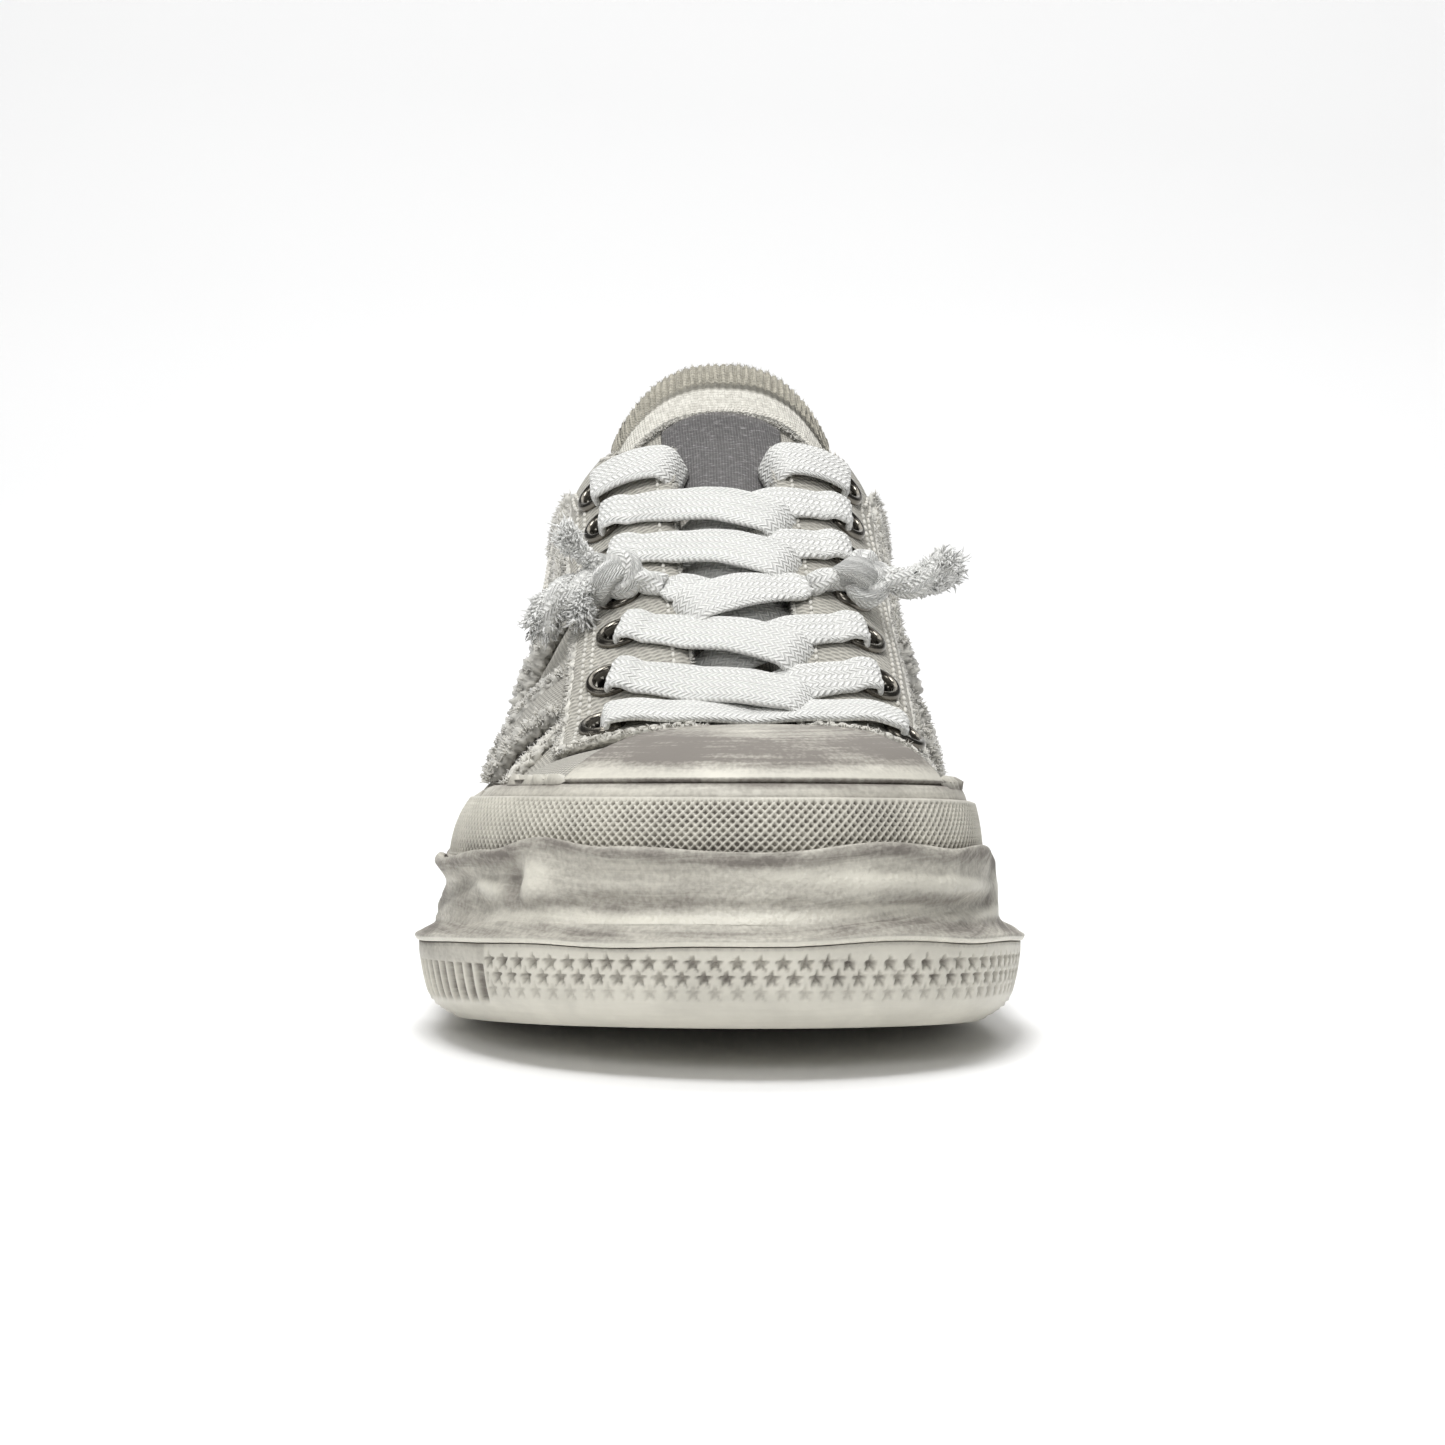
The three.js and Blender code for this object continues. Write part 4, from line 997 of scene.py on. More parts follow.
# Sole.
def layer_points(profile, counts):
    """A lattice over a profile of reaches and heights, with a count of courses between its knots."""
    knots = np.stack([np.stack(np.broadcast_arrays(*pair)) for pair in profile])
    stations = [np.linspace(k, k + 1, n, endpoint=False) for k, n in enumerate(counts)]
    t = np.concatenate(stations + [[len(counts)]])
    laid = curve_through(range(len(knots)), knots)(t)
    return laid[:, 0], laid[:, 1], t


STAR_TIERS = ((12.1, 1.0), (9.3, 0.95), (6.7, 0.4))  # height of each tier of pits, and its depth


def star_pits(along, up, from_row):
    """Depth of staggered star-shaped pits, as a share, on a wall measured along and up."""
    sizes = bpy.context.scene.sneaker_rubber
    pitch = sizes.star_pitch / MM
    radius = sizes.star_radius / MM
    depth = np.zeros_like(along)
    for tier, (height, deep) in enumerate(STAR_TIERS):
        offset = pitch / 2 if tier % 2 else 0.0
        x = (along + offset + pitch / 2) % pitch - pitch / 2
        y = up - height
        angle = np.arctan2(x, y)
        wedge = np.abs((angle / (2 * np.pi) * 5 + 0.5) % 1 - 0.5) * 2
        edge = radius * (1 - 0.66 * wedge**0.55)
        pit = np.clip(1.25 * (1 - np.hypot(x, y) / edge), 0, 1)
        depth = np.maximum(depth, pit**0.6 * deep)
    return depth * from_row


def outsole_points():
    """The outsole's lattice, with star pits round the toe, ribs beside the ball and striations under."""
    sizes = bpy.context.scene.sneaker_rubber
    rows = rows_round(1.4, 560, 110, front_step=0.45)
    reach = around_sole(rows)
    at = around_at(rows)
    floor = arch_lift(at)
    edge = OUTSOLE_HEIGHT + 0.1 + fold(rows, FLANGE)
    profile = (
        (0 * reach, floor),
        (reach - 10, floor),
        (reach - 5.2, floor + 1.6),
        (reach - 2.2, 4.8 + 0 * reach),
        (reach - 0.7, 11.5 + 0 * reach),
        (reach - 0.5, edge - 1.6),
        (reach - 0.5, edge),
        (reach - 10, OUTSOLE_HEIGHT + 0 * reach),
        (0 * reach, OUTSOLE_HEIGHT + 0 * reach),
    )
    reaches, heights, t = layer_points(profile, (2, 5, 7, 18, 5, 5, 1, 1))
    points = place(rows[None], reaches, heights)
    normals = lattice_normals(points, True)
    along = arc_lengths(points[26:27], 1)
    row = np.broadcast_to(rows[None] % ROWS, heights.shape)
    starred = smooth_step(row, 8.43, 8.45) * (1 - smooth_step(row, 12.98, 13.0))
    ribbed = (1 - starred) * smooth_step(around_at(row), 186, 190)
    below_edge = 1 - smooth_step(heights - edge, -0.7, -0.3)
    on_wall = smooth_step(heights, 4.2, 4.8) * below_edge * (t[:, None] < 6)
    pitch = sizes.rib_pitch / MM
    wave = np.abs((along / pitch) % 1 - 0.5) * 2
    ribs = (1 - smooth_step(wave, 0.55, 0.8)) * ribbed * smooth_step(heights, 4.0, 5.0)
    ribs = ribs * (1 - smooth_step(heights, 11.0, 11.6)) * (t[:, None] < 6)
    pits = star_pits(np.broadcast_to(along, heights.shape), heights, starred) * on_wall
    under = (t[:, None] < 4) * smooth_step(t[:, None] + 0 * heights, 0.9, 1.2)
    striae = 0.16 * np.sin(2 * np.pi * t[:, None] * 3.0) * under * (1 - on_wall)
    out = striae - pits * sizes.star_depth / MM - ribs * 1.1
    # Darker in the star pits, in the rib grooves, along the top edge and at the top of the ribbed stretch:
    # painted shade, over a light even layer of dirt.
    dirt = 0.1 + 0.85 * pits + 0.95 * ribs + 0.5 * smooth_step(heights - edge, -1.0, 0.0)
    dirt = dirt + 0.35 * ribbed * smooth_step(heights, 10.5, 12.0)
    return points + normals * out[..., None], np.clip(dirt, 0, 1)


def crease_field(table, row, level):
    """How far out a table of soft creases moves a wall."""
    out = np.zeros(np.broadcast(row, level).shape)
    for middle, height, long, tall, slant, amount in table:
        x = rows_apart(row, middle) / long
        y = (level - height - slant * x) / tall
        out += amount * 1.35 * hump(x * 0.7) * hump(y * 0.7)
    return out


def ripple(points, size, seed):
    """Soft hand-made unevenness from a few waves across the piece."""
    rng = np.random.default_rng(seed)
    total = np.zeros(points.shape[:-1])
    for _ in range(9):
        direction = rng.normal(size=3)
        wave = 2 * np.pi / (size * rng.uniform(0.7, 1.8))
        total += np.sin(points @ (direction / np.linalg.norm(direction)) * wave + rng.uniform(0, 6.3))
    return total / 4


def midsole_points():
    """The midsole's lattice: flared flange, folded wall, wavy lip, with its creases."""
    rows = rows_round(1.5, 330, 100, front_step=1.0)
    reach = around_sole(rows)
    lip, swell, flange = (fold(rows, column) for column in (LIP, SWELL, FLANGE))
    bottom = OUTSOLE_HEIGHT + FLAT_GAP
    ledge = FOXING_OUT + FOXING_LEDGE
    inner = around_upper(rows) + ledge + (BUMPER_OUT - ledge) * bumper_share(rows) + 1
    lip_top = PLATE_HEIGHT + 1.6 + lip
    level = 0 * reach
    profile = (
        (level, bottom + level),
        (reach - 10, bottom + level),
        (reach - 0.4, bottom + flange),
        (reach + 0.3, bottom + 1 + flange),
        (reach - 1.3, bottom + 2 + flange),
        (reach - 4.2 + swell * 0.4, bottom + 3.8 + flange * 0.8),
        (reach - 4.4 + swell, bottom + 7.5 + level),
        (reach - 5.7 + swell * 0.2, bottom + 12 + lip * 0.5),
        (np.maximum(reach - 5.2 + swell * 0.2, inner + 1.8), lip_top - 1.3),
        (np.maximum(reach - 6, inner + 1), lip_top),
        (inner, lip_top - 0.4),
        (inner, PLATE_HEIGHT + level),
        (level, PLATE_HEIGHT + level),
    )
    reaches, heights, t = layer_points(profile, (1, 2, 4, 4, 6, 8, 9, 8, 5, 3, 2, 2))
    points = place(rows[None], reaches, heights)
    normals = lattice_normals(points, True)
    on_wall = smooth_step(t, 3.6, 4.6) * (1 - smooth_step(t, 8.2, 9.0))
    creases = crease_field(CREASES, rows[None], heights)
    uneven = 0.3 * ripple(points * (0.45, 0.45, 1.0), 9, 3) + 0.14 * ripple(points * (0.6, 0.6, 1.0), 4.5, 4)
    out = (creases + uneven) * on_wall[:, None]
    # Painted shade: darker in the hollows, in the recess above the flange and along the top under the lip.
    # Painted highlight: lighter on the ridges and in a band low on the front and inner wall. Lighter along
    # the flange's lowest millimetre. The rest is an even layer of dirt.
    hollow = smooth_step(-creases - uneven, -0.3, 0.9)
    seam = hump((heights - flange - bottom - 2.6) / 2.4)
    rim = hump((heights - lip_top + 1.6) / 2.6)
    dirt = 0.45 + 0.3 * hollow + 0.45 * seam + 0.45 * rim
    dirt -= 0.35 * smooth_step(creases + uneven, 0.15, 0.9)
    dirt -= 0.5 * hump((heights - flange - bottom - 5.4) / 1.8) * smooth_step(rows % ROWS, 8, 9)
    dirt -= 0.6 * (1 - smooth_step(heights - flange - bottom, 0.6, 1.1))
    return points + normals * out[..., None], np.clip(dirt, 0, 1)


def sheet_points(rows, low, high, courses, out):
    """A lattice on the last between two turns, standing off it."""
    share = np.linspace(0, 1, courses)[:, None]
    turn = low(rows)[None] * (1 - share) + high(rows)[None] * share
    row = np.broadcast_to(rows[None], turn.shape)
    offset = out(row, share + 0 * turn) if callable(out) else np.full(turn.shape, float(out))
    return off_last(row, turn, offset), row, share + 0 * turn, turn


def foxing_points():
    """The foxing's outer face, with a rib that ends at the bumper."""
    rows = rows_round(2.2, 180, 70)

    def out(row, share):
        rib = smooth_step(share, 0.15, 0.35) * (1 - smooth_step(share, 0.78, 0.92))
        edge = 0.5 * smooth_step(share, 0.9, 1.0) ** 2
        return FOXING_OUT + FOXING_LEDGE * rib * (1 - bumper_share(row)) - edge

    points, row, share, _ = sheet_points(rows, foot_turn, at_height(FOXING_TOP), 20, out)
    # Darker along the top edge and behind the toe bumper: painted shade, over an even layer of dirt.
    below = 0.7 * (1 - smooth_step(share, 0.72, 0.84)) * bumper_share(row)
    dirt = 0.45 + 0.6 * smooth_step(share, 0.9, 1.0) + below
    return points, np.clip(dirt, 0, 1)


def bumper_points():
    """The toe bumper's outer face under a lattice of diagonal ridges."""
    sizes = bpy.context.scene.sneaker_rubber
    rows = np.linspace(BUMPER_FROM + BUMPER_FADE, BUMPER_TO - BUMPER_FADE, 1240)

    def lean(row, share):
        ends = smooth_step(np.abs(row - (BUMPER_FROM + BUMPER_TO) / 2), 3.62, 3.75)
        edge = smooth_step(share, 0.93, 1.0) ** 2
        return BUMPER_OUT - 0.9 * share - 0.9 * edge - 1.2 * ends

    points, row, share, _ = sheet_points(rows, at_height(PLATE_HEIGHT + 0.6), at_height(BUMPER_TOP), 44, lean)
    along = arc_lengths(points[22:23], 1) + 0 * share
    up = arc_lengths(points, 0)
    pitch = sizes.knurl_pitch / MM
    first = np.abs(((along + up) / pitch) % 1 - 0.5) * 2
    second = np.abs(((along - up) / pitch) % 1 - 0.5) * 2
    ridge = np.maximum(smooth_step(first, 0.35, 0.85), smooth_step(second, 0.35, 0.85))
    inside = smooth_step(share, 0.02, 0.06) * (1 - smooth_step(share, 0.9, 0.93))
    pit = (1 - ridge) * inside
    normals = lattice_normals(points, False)
    # Darker in the knurl's pits and along the top and bottom edges: painted shade, over a light even layer of
    # dirt.
    dirt = 0.08 + 0.85 * pit + 0.5 * smooth_step(share, 0.9, 1.0) + 0.3 * (1 - smooth_step(share, 0.1, 0.35))
    face = points - normals * (pit * sizes.knurl_depth / MM)[..., None]
    back = points[::-43] - normals[::-43] * 1.2
    closed = np.concatenate([face, back, face[:1]])
    return closed, np.clip(np.concatenate([dirt, dirt[::-43], dirt[:1]]), 0, 1)


CAP_EDGE_AT = 246.0
CAP_EDGE_X = 8.5
CAP_EDGE_BOW = 0.021
CAP_FOOT = 44.1
CAP_OUT = 2.05


def cap_edge_turn(row):
    """Where the toe cap's arched rear edge crosses each row, by halving."""
    low = turn_at_height(row, CAP_FOOT)
    high = turn_at_reach(row, 2.0)
    for _ in range(26):
        middle = (low + high) / 2
        point = last_point(row, middle)
        edge = LENGTH / 2 - CAP_EDGE_AT - CAP_EDGE_BOW * (point[..., 0] - CAP_EDGE_X) ** 2
        ahead = point[..., 1] < edge
        low = np.where(ahead, middle, low)
        high = np.where(ahead, high, middle)
    return (low + high) / 2


def cap_points():
    """The toe cap's outer face with a rolled rear edge."""
    rows = np.linspace(7.9, 12.62, 160)

    def out(row, share):
        roll = smooth_step(share, 0.93, 1.0) ** 2
        return CAP_OUT - 0.6 * roll + 0.25 * hump((share - 0.9) / 0.08)

    points, row, share, _ = sheet_points(rows, at_height(CAP_FOOT), cap_edge_turn, 44, out)
    height = points[..., 2] - points[:1, :, 2]
    level = height / np.maximum(height[-1:], 3)
    run = arc_lengths(points, 0)
    from_edge = run[-1:] - run
    # The smear across the upper middle is dirt, darker towards both sides. Darker at the rear edge and at the
    # foot by the bumper: painted shade. Lighter in a band just inside the rear edge.
    smear_and_shade = 0.15 + 1.25 * hump((level - 0.8) / 0.74) + 0.25 * smooth_step(np.abs(row - 10.2), 1.3, 2.2)
    smear_and_shade -= 0.5 * hump((from_edge - 2.0) / 1.4)
    smear_and_shade += 0.8 * (1 - smooth_step(from_edge, 0.3, 0.9)) + 0.7 * (1 - smooth_step(level, 0.0, 0.06))
    return points, np.clip(smear_and_shade, 0, 1.2)


# Upper.
foot_turn = at_height(PLATE_HEIGHT + FLAT_GAP)  # where the upper meets the sole's plate
overlay_foot = at_height(FOXING_TOP + 0.8)  # the lower edge of the overlays


def eyelet_reach(pair, name):
    """An eyelet's reach from the spine on a side."""
    return pair[1] if name == "outer" else pair[2]


def eyelet_places(only=None):
    """Middles and normals of the eyelets on the last, for one side or both."""
    found = []
    for name, sign in SIDES:
        if only in (None, name):
            found += [instep(pair[0], sign * eyelet_reach(pair, name), 0.0) for pair in EYELETS]
    return found


def pierce(mesh, side=None):
    """Opens the eyelets' holes in a sheet."""
    bm = bmesh.new()
    bm.from_mesh(mesh)
    holes = [(Vector((p - MIDDLE) * MM), Vector(n)) for p, n in eyelet_places(side)]
    gone = []
    for face in bm.faces:
        middle = face.calc_center_median()
        for point, normal in holes:
            away = middle - point
            if away.length_squared < (HOLE_NEAR * MM) ** 2:
                if (away - normal * away.dot(normal)).length < HOLE_CUT * MM:
                    gone.append(face)
                    break
    bmesh.ops.delete(bm, geom=gone, context="FACES")
    bm.to_mesh(mesh)
    bm.free()


def upper_points():
    """The upper's outer face with its soft creases and a rolled edge."""
    rows = rows_round(1.6, 170, 80)
    points, row, share, turn = sheet_points(rows, foot_turn, rim_turn, 46, 0.0)
    normals = last_normal(row, turn)
    rise = spine_ridge(around_at(row)) - PLATE_HEIGHT
    level = (points[..., 2] - PLATE_HEIGHT) / rise
    covered = smooth_step(points[..., 2], FOXING_TOP, FOXING_TOP + 4)
    creases = crease_field(WRINKLES, row, level) * covered
    creases = np.minimum(creases, 0.35)
    uneven = np.minimum(0.25 * ripple(points, 18, 5), 0.3) * covered
    roll = 0.5 * smooth_step(share, 0.97, 1.0)
    # Darker in the creases and along the rolled rim: painted shade. Darker just above the foxing, over a
    # light even layer of dirt.
    dirt = 0.12 + 0.25 * smooth_step(-creases, 0.1, 0.7) + 0.35 * (1 - smooth_step(points[..., 2], 44, 52))
    dirt += 0.35 * smooth_step(share, 0.94, 1.0)
    return points + normals * (creases + uneven - roll)[..., None], np.clip(dirt, 0, 1)


eyestay_reach = curve_through((124, 150, 180, 205, 230), (31, 32, 32, 34.5, 38))


def eyestay_foot(row):
    """The eyestay's outer edge."""
    limit = around_upper(row) - 4.5
    return turn_at_reach(row, np.minimum(eyestay_reach(around_at(row)), limit))


def eyestay_rim(row):
    """The eyestay's edge along the throat."""
    return rim_turn(row) - 1.0 / around_upper(row)


def eyestay_points(sign):
    """An eyestay's outer face."""
    rows = np.sort(side_row(np.linspace(124, 230, 190), sign))

    def out(row, share):
        edge = hump(share / 0.06) + hump((1 - share) / 0.08)
        return OVERLAY_OUT - 0.5 * edge

    points, _, share, _ = sheet_points(rows, eyestay_foot, eyestay_rim, 40, out)
    normals = lattice_normals(points, False)
    uneven = 0.12 * ripple(points, 11, 8)
    # Darker along both long edges: painted shade, over a light even layer of dirt.
    dirt = 0.12 + 0.25 * hump(share / 0.2) + 0.2 * hump((1 - share) / 0.2)
    return points + normals * uneven[..., None], np.clip(dirt, 0, 1)


STRIP_FROM = 212.0
STRIP_TO = 199.0
PANEL_FRONT = 168.0


def strip_head(row):
    """The side strip's end below the eyestay."""
    return eyestay_foot(row) - 1.2 / around_upper(row)


def strip_points(sign):
    """A side strip's outer face, crowned between its frayed edges."""
    rows = np.sort(side_row(np.linspace(STRIP_TO, STRIP_FROM, 40), sign))
    middle = rows.mean()
    half = (rows[-1] - rows[0]) / 2

    def out(row, share):
        across = np.abs(row - middle) / half
        return OVERLAY_OUT - 0.4 * smooth_step(across, 0.8, 1.0) + 0.35 * (1 - across**2)

    points, row, _, _ = sheet_points(rows, overlay_foot, strip_head, 60, out)
    # Darker towards both frayed edges: painted shade, over an even layer of dirt.
    dirt = 0.25 + 0.5 * smooth_step(np.abs(row - middle) / half, 0.6, 1.0)
    return points, np.clip(dirt, 0, 1)


def panel_head(row):
    """The heel panel's upper edge: under the collar, and under the eyestay in front."""
    at = around_at(row)
    rise = spine_ridge(at) - PLATE_HEIGHT
    collar = rim_turn(row) - 5.0 / rise
    front = eyestay_foot(row) - 2.0 / around_upper(row)
    return np.where(at > 112, np.minimum(front, collar), collar)


def panel_points():
    """The heel panel's outer face, from quarter to quarter round the heel."""
    ends = (side_row(PANEL_FRONT, 1), side_row(PANEL_FRONT, -1) + ROWS)
    ring = rows_round(1.4, 20, 110)
    twice = np.concatenate([ring[:-1], ring + ROWS])
    inside = twice[(twice > ends[0] + 0.01) & (twice < ends[1] - 0.01)]
    rows = np.concatenate([[ends[0]], inside, [ends[1]]])
    points, row, share, _ = sheet_points(rows, overlay_foot, panel_head, 34, OVERLAY_OUT)
    normals = lattice_normals(points, False)
    creases = crease_field(WRINKLES, row, 0.2 + 0.6 * share) * 0.5
    out = np.minimum(creases + 0.2 * ripple(points, 16, 6), 0.5)
    # Darker in the creases and along the lower edge: painted shade, over an even layer of dirt.
    dirt = 0.2 + 0.4 * smooth_step(-out, 0.0, 0.6) + 0.35 * (1 - smooth_step(share, 0.0, 0.12))
    return points + normals * out[..., None], np.clip(dirt, 0, 1)


tongue_half = curve_through((100, 125, 180, 229), (26.5, 27, 24, 21))
tongue_out = curve_through((105, 114, 127, 215, 232), (-2.6, -4.2, -WALL - 3.3, -WALL - 3.3, -WALL - 0.6))
TONGUE_FRONT = 231.5
TONGUE_TOP = 106.0
TONGUE_BOW = 0.0045
TONGUE_THICK = 3.4
OVERLOCK_PITCH = 1.7


def instep_points(front, top, half, out, along, across):
    """A lattice over the instep, from its front up to its top and from side to side."""
    share = np.linspace(-1, 1, across)[None]
    climb = np.linspace(0, 1, along)[:, None] ** 0.75
    at = front + (top(share) - front) * climb
    side = share * half(at)
    points, normals = instep(at, side, out(at) + 0 * side)
    return points, normals, at, share + 0 * at, climb + 0 * at


def tongue_crown(at, across):
    """How far the tongue's padding swells up between the eyestays."""
    swell = 2.4 * smooth_step(at, 120, 150) + 1.2 * smooth_step(at, 195, 215)
    return swell * (1 - smooth_step(np.abs(across), 3.5, 9.5))


def tongue_points():
    """The tongue's outer face, with its bands along the rounded top."""

    def top(share):
        return TONGUE_TOP + TONGUE_BOW * (share * tongue_half(TONGUE_TOP)) ** 2

    points, normals, at, share, _ = instep_points(TONGUE_FRONT, top, tongue_half, tongue_out, 110, 130)
    from_top = at - top(share)
    uneven = 0.15 * ripple(points, 12, 9) - 0.5 * hump(from_top / 2.0)
    uneven = uneven + tongue_crown(at, share * tongue_half(at))
    grey = 1 - smooth_step(from_top, 4.8, 5.4)
    loops = np.sin(2 * np.pi * arc_lengths(points[-1:], 1) / OVERLOCK_PITCH)
    scallop = 11.2 + 0.5 * loops
    pale = (1 - smooth_step(from_top, scallop - 0.5, scallop + 0.5)) * (1 - grey)
    bands = grey * (0.5 + 0.35 * loops) + pale * (0.8 + 0.1 * loops) - 0.5 * hump((from_top - 5.4) / 0.9)
    # Darker towards both sides, over an even layer of dirt.
    dirt = 0.15 + 0.3 * smooth_step(np.abs(share), 0.6, 1.0)
    rib = 0.55 * (0.5 - 0.5 * loops) * grey
    rib = rib + 0.6 * hump((from_top - 5.3) / 0.9) + 0.5 * hump((from_top - 12) / 0.9)
    marks = {"dirt": np.clip(dirt, 0, 1), "grey_band": grey, "pale_band": pale, "rib": np.clip(rib, 0, 1)}
    return points + normals * (uneven + bands)[..., None], marks


def tongue_root_points():
    """The tongue's front under the vamp, which closes the throat's front end."""
    return sheet_points(np.linspace(7, 13, 60), at_reach(13.0), at_reach(0.2), 16, -2.7)[0]


def label_points():
    """The bare label's outer face."""

    def top(share):
        return 117 + 3 * share * share

    def half(at):
        return 14.2 + 0 * at

    def out(at):
        return tongue_out(at) + GAP + 0.9

    points, normals, at, share, climb = instep_points(149.0, top, half, out, 44, 36)
    edge = np.maximum(smooth_step(np.abs(share), 0.94, 1.0), smooth_step(climb, 0.95, 1.0))
    lift = tongue_crown(at, share * half(at)) - 0.35 * edge
    # Darker along the rolled-in edges: painted shade, over a light even layer of dirt.
    return points + normals * lift[..., None], 0.1 + 0.4 * edge


def insole_points():
    """The insole, a closed flat layer with a soft edge."""
    rows = rows_round(3, 70, 40)
    reach = around_upper(rows) - WALL - 0.8
    low = PLATE_HEIGHT + FLAT_GAP
    level = 0 * reach
    profile = (
        (level, low + level),
        (reach - 1, low + level),
        (reach, low + 1 + level),
        (reach - 0.5, low + 3.2 + level),
        (reach - 2, low + 4 + level),
        (level, low + 4 + level),
    )
    reaches, heights, _ = layer_points(profile, (2, 2, 3, 3, 8))
    return place(rows[None], reaches, heights)


# Eyelets.
def eyelets_mesh():
    """All eyelets: a rolled rim spun round each hole, with a barrel through the wall."""
    sizes = bpy.context.scene.sneaker_lace
    hole, rim = sizes.hole / MM, sizes.rim / MM
    bm = bmesh.new()
    for point, normal in eyelet_places():
        ring = bmesh.new()
        middle = (hole + rim) / 2 + 0.2
        half = (rim - hole) / 2 - 0.2
        angles = np.radians(np.linspace(-10, 190, 9))
        outline = [(middle + half * math.cos(a), OVERLAY_OUT + 0.25 + 1.15 * math.sin(a)) for a in angles]
        outline.append((hole, OVERLAY_OUT - 0.6))
        outline.append((hole, -WALL + 0.2))
        verts = [ring.verts.new((r, 0, z)) for r, z in outline]
        edges = [ring.edges.new(pair) for pair in zip(verts, verts[1:])]
        bmesh.ops.spin(
            ring,
            geom=verts + edges,
            axis=(0, 0, 1),
            cent=(0, 0, 0),
            angle=2 * math.pi,
            steps=36,
            use_merge=True,
        )
        bmesh.ops.remove_doubles(ring, verts=ring.verts, dist=0.001)
        bmesh.ops.recalc_face_normals(ring, faces=ring.faces)
        # Marks the barrel inside the hole, which the metal paints near-black as painted shade.
        hollow = ring.verts.layers.float.new("hole")
        for vert in ring.verts:
            vert[hollow] = 1.0 if vert.co.z < OVERLAY_OUT - 0.5 else 0.0
        stand = Vector(normal).to_track_quat("Z", "Y").to_matrix().to_4x4()
        seat = Matrix.Translation(Vector((point - MIDDLE) * MM)) @ stand @ Matrix.Scale(MM, 4)
        bmesh.ops.transform(ring, matrix=seat, verts=ring.verts)
        held = bpy.data.meshes.new("eyelet")
        ring.to_mesh(held)
        ring.free()
        bm.from_mesh(held)
        bpy.data.meshes.remove(held)
    mesh = bpy.data.meshes.new("eyelets")
    bm.to_mesh(mesh)
    bm.free()
    return mesh


# Laces.
def lace_band(path, normals, widths):
    """A flat tubular lace along a path: a rounded section whose width changes along it."""
    angle = np.linspace(0, 2 * np.pi, 33)[:, None]
    thick = bpy.context.scene.sneaker_lace.thickness / MM
    across = np.sign(np.cos(angle)) * np.abs(np.cos(angle)) ** 0.55 * widths[None] / 2
    swell = 0.75 + 0.35 * np.abs(np.sin(2 * np.pi * across / 3.4 + 0.6))
    up = np.sign(np.sin(angle)) * np.abs(np.sin(angle)) ** 0.75 * thick / 2 * swell
    return sweep(path, normals, across, up)


def crossing_lift(stop, over, on_top):
    """How high the lace rides over the last from the throat to its stop, where it lies over a rim."""
    if on_top:
        start = ((-14.5, -12.8, -11.6, -10.4, -8, 0, 6), (-3.6, -3.2, -0.6, 2.8, 4.8, 4.9, 4.0))
    else:
        start = ((-14.5, -12, -10.5, -8, -4, 0, 6), (-3.6, -3.5, -3.3, -2.2, 0.2, 1.3, 2.2))
    return curve_through(
        (*start[0], 11, stop - 6, stop - 3, stop + 5),
        (*start[1], LACE_LOW, LACE_LOW, over, over),
    )


def dive(path, normals, into):
    """Bends the last stretch of a path down into an eyelet."""
    drop = into * smooth_step(-left_along(path), -3.0, 0.0) ** 1.2
    return path - normals * drop[:, None]


def crossing_path(lower, upper, name, sign, short, on_top):
    """The path of one crossing from under the opposite side up to its eyelet."""
    reach = eyelet_reach(upper, name)
    stop = reach - short
    tail = 0.0 if short else LACE_TAIL
    across = np.linspace(-14.0, stop + tail, 64)
    rise = (across + TUCK_REACH) / (reach + TUCK_REACH)
    at = lower[0] - TUCK_AT + (upper[0] - lower[0] + TUCK_AT) * rise
    lift = crossing_lift(stop, LACE_ON_STAY if short else LACE_OVER_RIM, on_top)
    path, normals = instep(at, sign * across, lift(across))
    if not short:
        path = dive(path, normals, 6.0)
    return path, normals


def narrowing(path, full):
    """A band's widths, gathered over its last stretch where it goes into an eyelet."""
    return full - (full - LACE_NECK) * (1 - smooth_step(left_along(path), 0.0, NECK_REACH))


def lace_mesh(name, bands):
    """Several bands joined in one mesh, each with its own map."""
    return joined_mesh(name, [(points, {}) for points in bands])


def joined_mesh(name, tubes):
    """Several closed tubes, each with its marks, joined in one mesh."""
    bm = bmesh.new()
    for points, marks in tubes:
        mesh = lattice_mesh("band", points, marks, merge=True, recalculate=True)
        bm.from_mesh(mesh)
        bpy.data.meshes.remove(mesh)
    close_ends(bm)
    mesh = bpy.data.meshes.new(name)
    bm.to_mesh(mesh)
    bm.free()
    return mesh


def close_ends(bm):
    """Closes the open ends of tubes."""
    open_edges = [e for e in bm.edges if e.is_boundary]
    if open_edges:
        bmesh.ops.holes_fill(bm, edges=open_edges, sides=0)


def knot_middle(name, sign):
    """The middle of a side's knot and the direction out of the shoe there."""
    pair = EYELETS[KNOT_ROW]
    return instep(pair[0], sign * eyelet_reach(pair, name), KNOT_STAND)


def end_path(name, sign):
    """The free end's route: from the last crossing over the stay, through the knot and out to its tip."""
    lower, upper = EYELETS[KNOT_ROW - 1], EYELETS[KNOT_ROW]
    approach, _ = crossing_path(lower, upper, name, sign, KNOT_CLEAR, sign > 0)
    middle, _ = knot_middle(name, sign)
    route = [approach[-1], (approach[-1] + middle) / 2 + (0, 0, 0.6), middle]
    route += [middle + np.array(step) for step in END_ROUTES[name]]
    return through(route, 40)


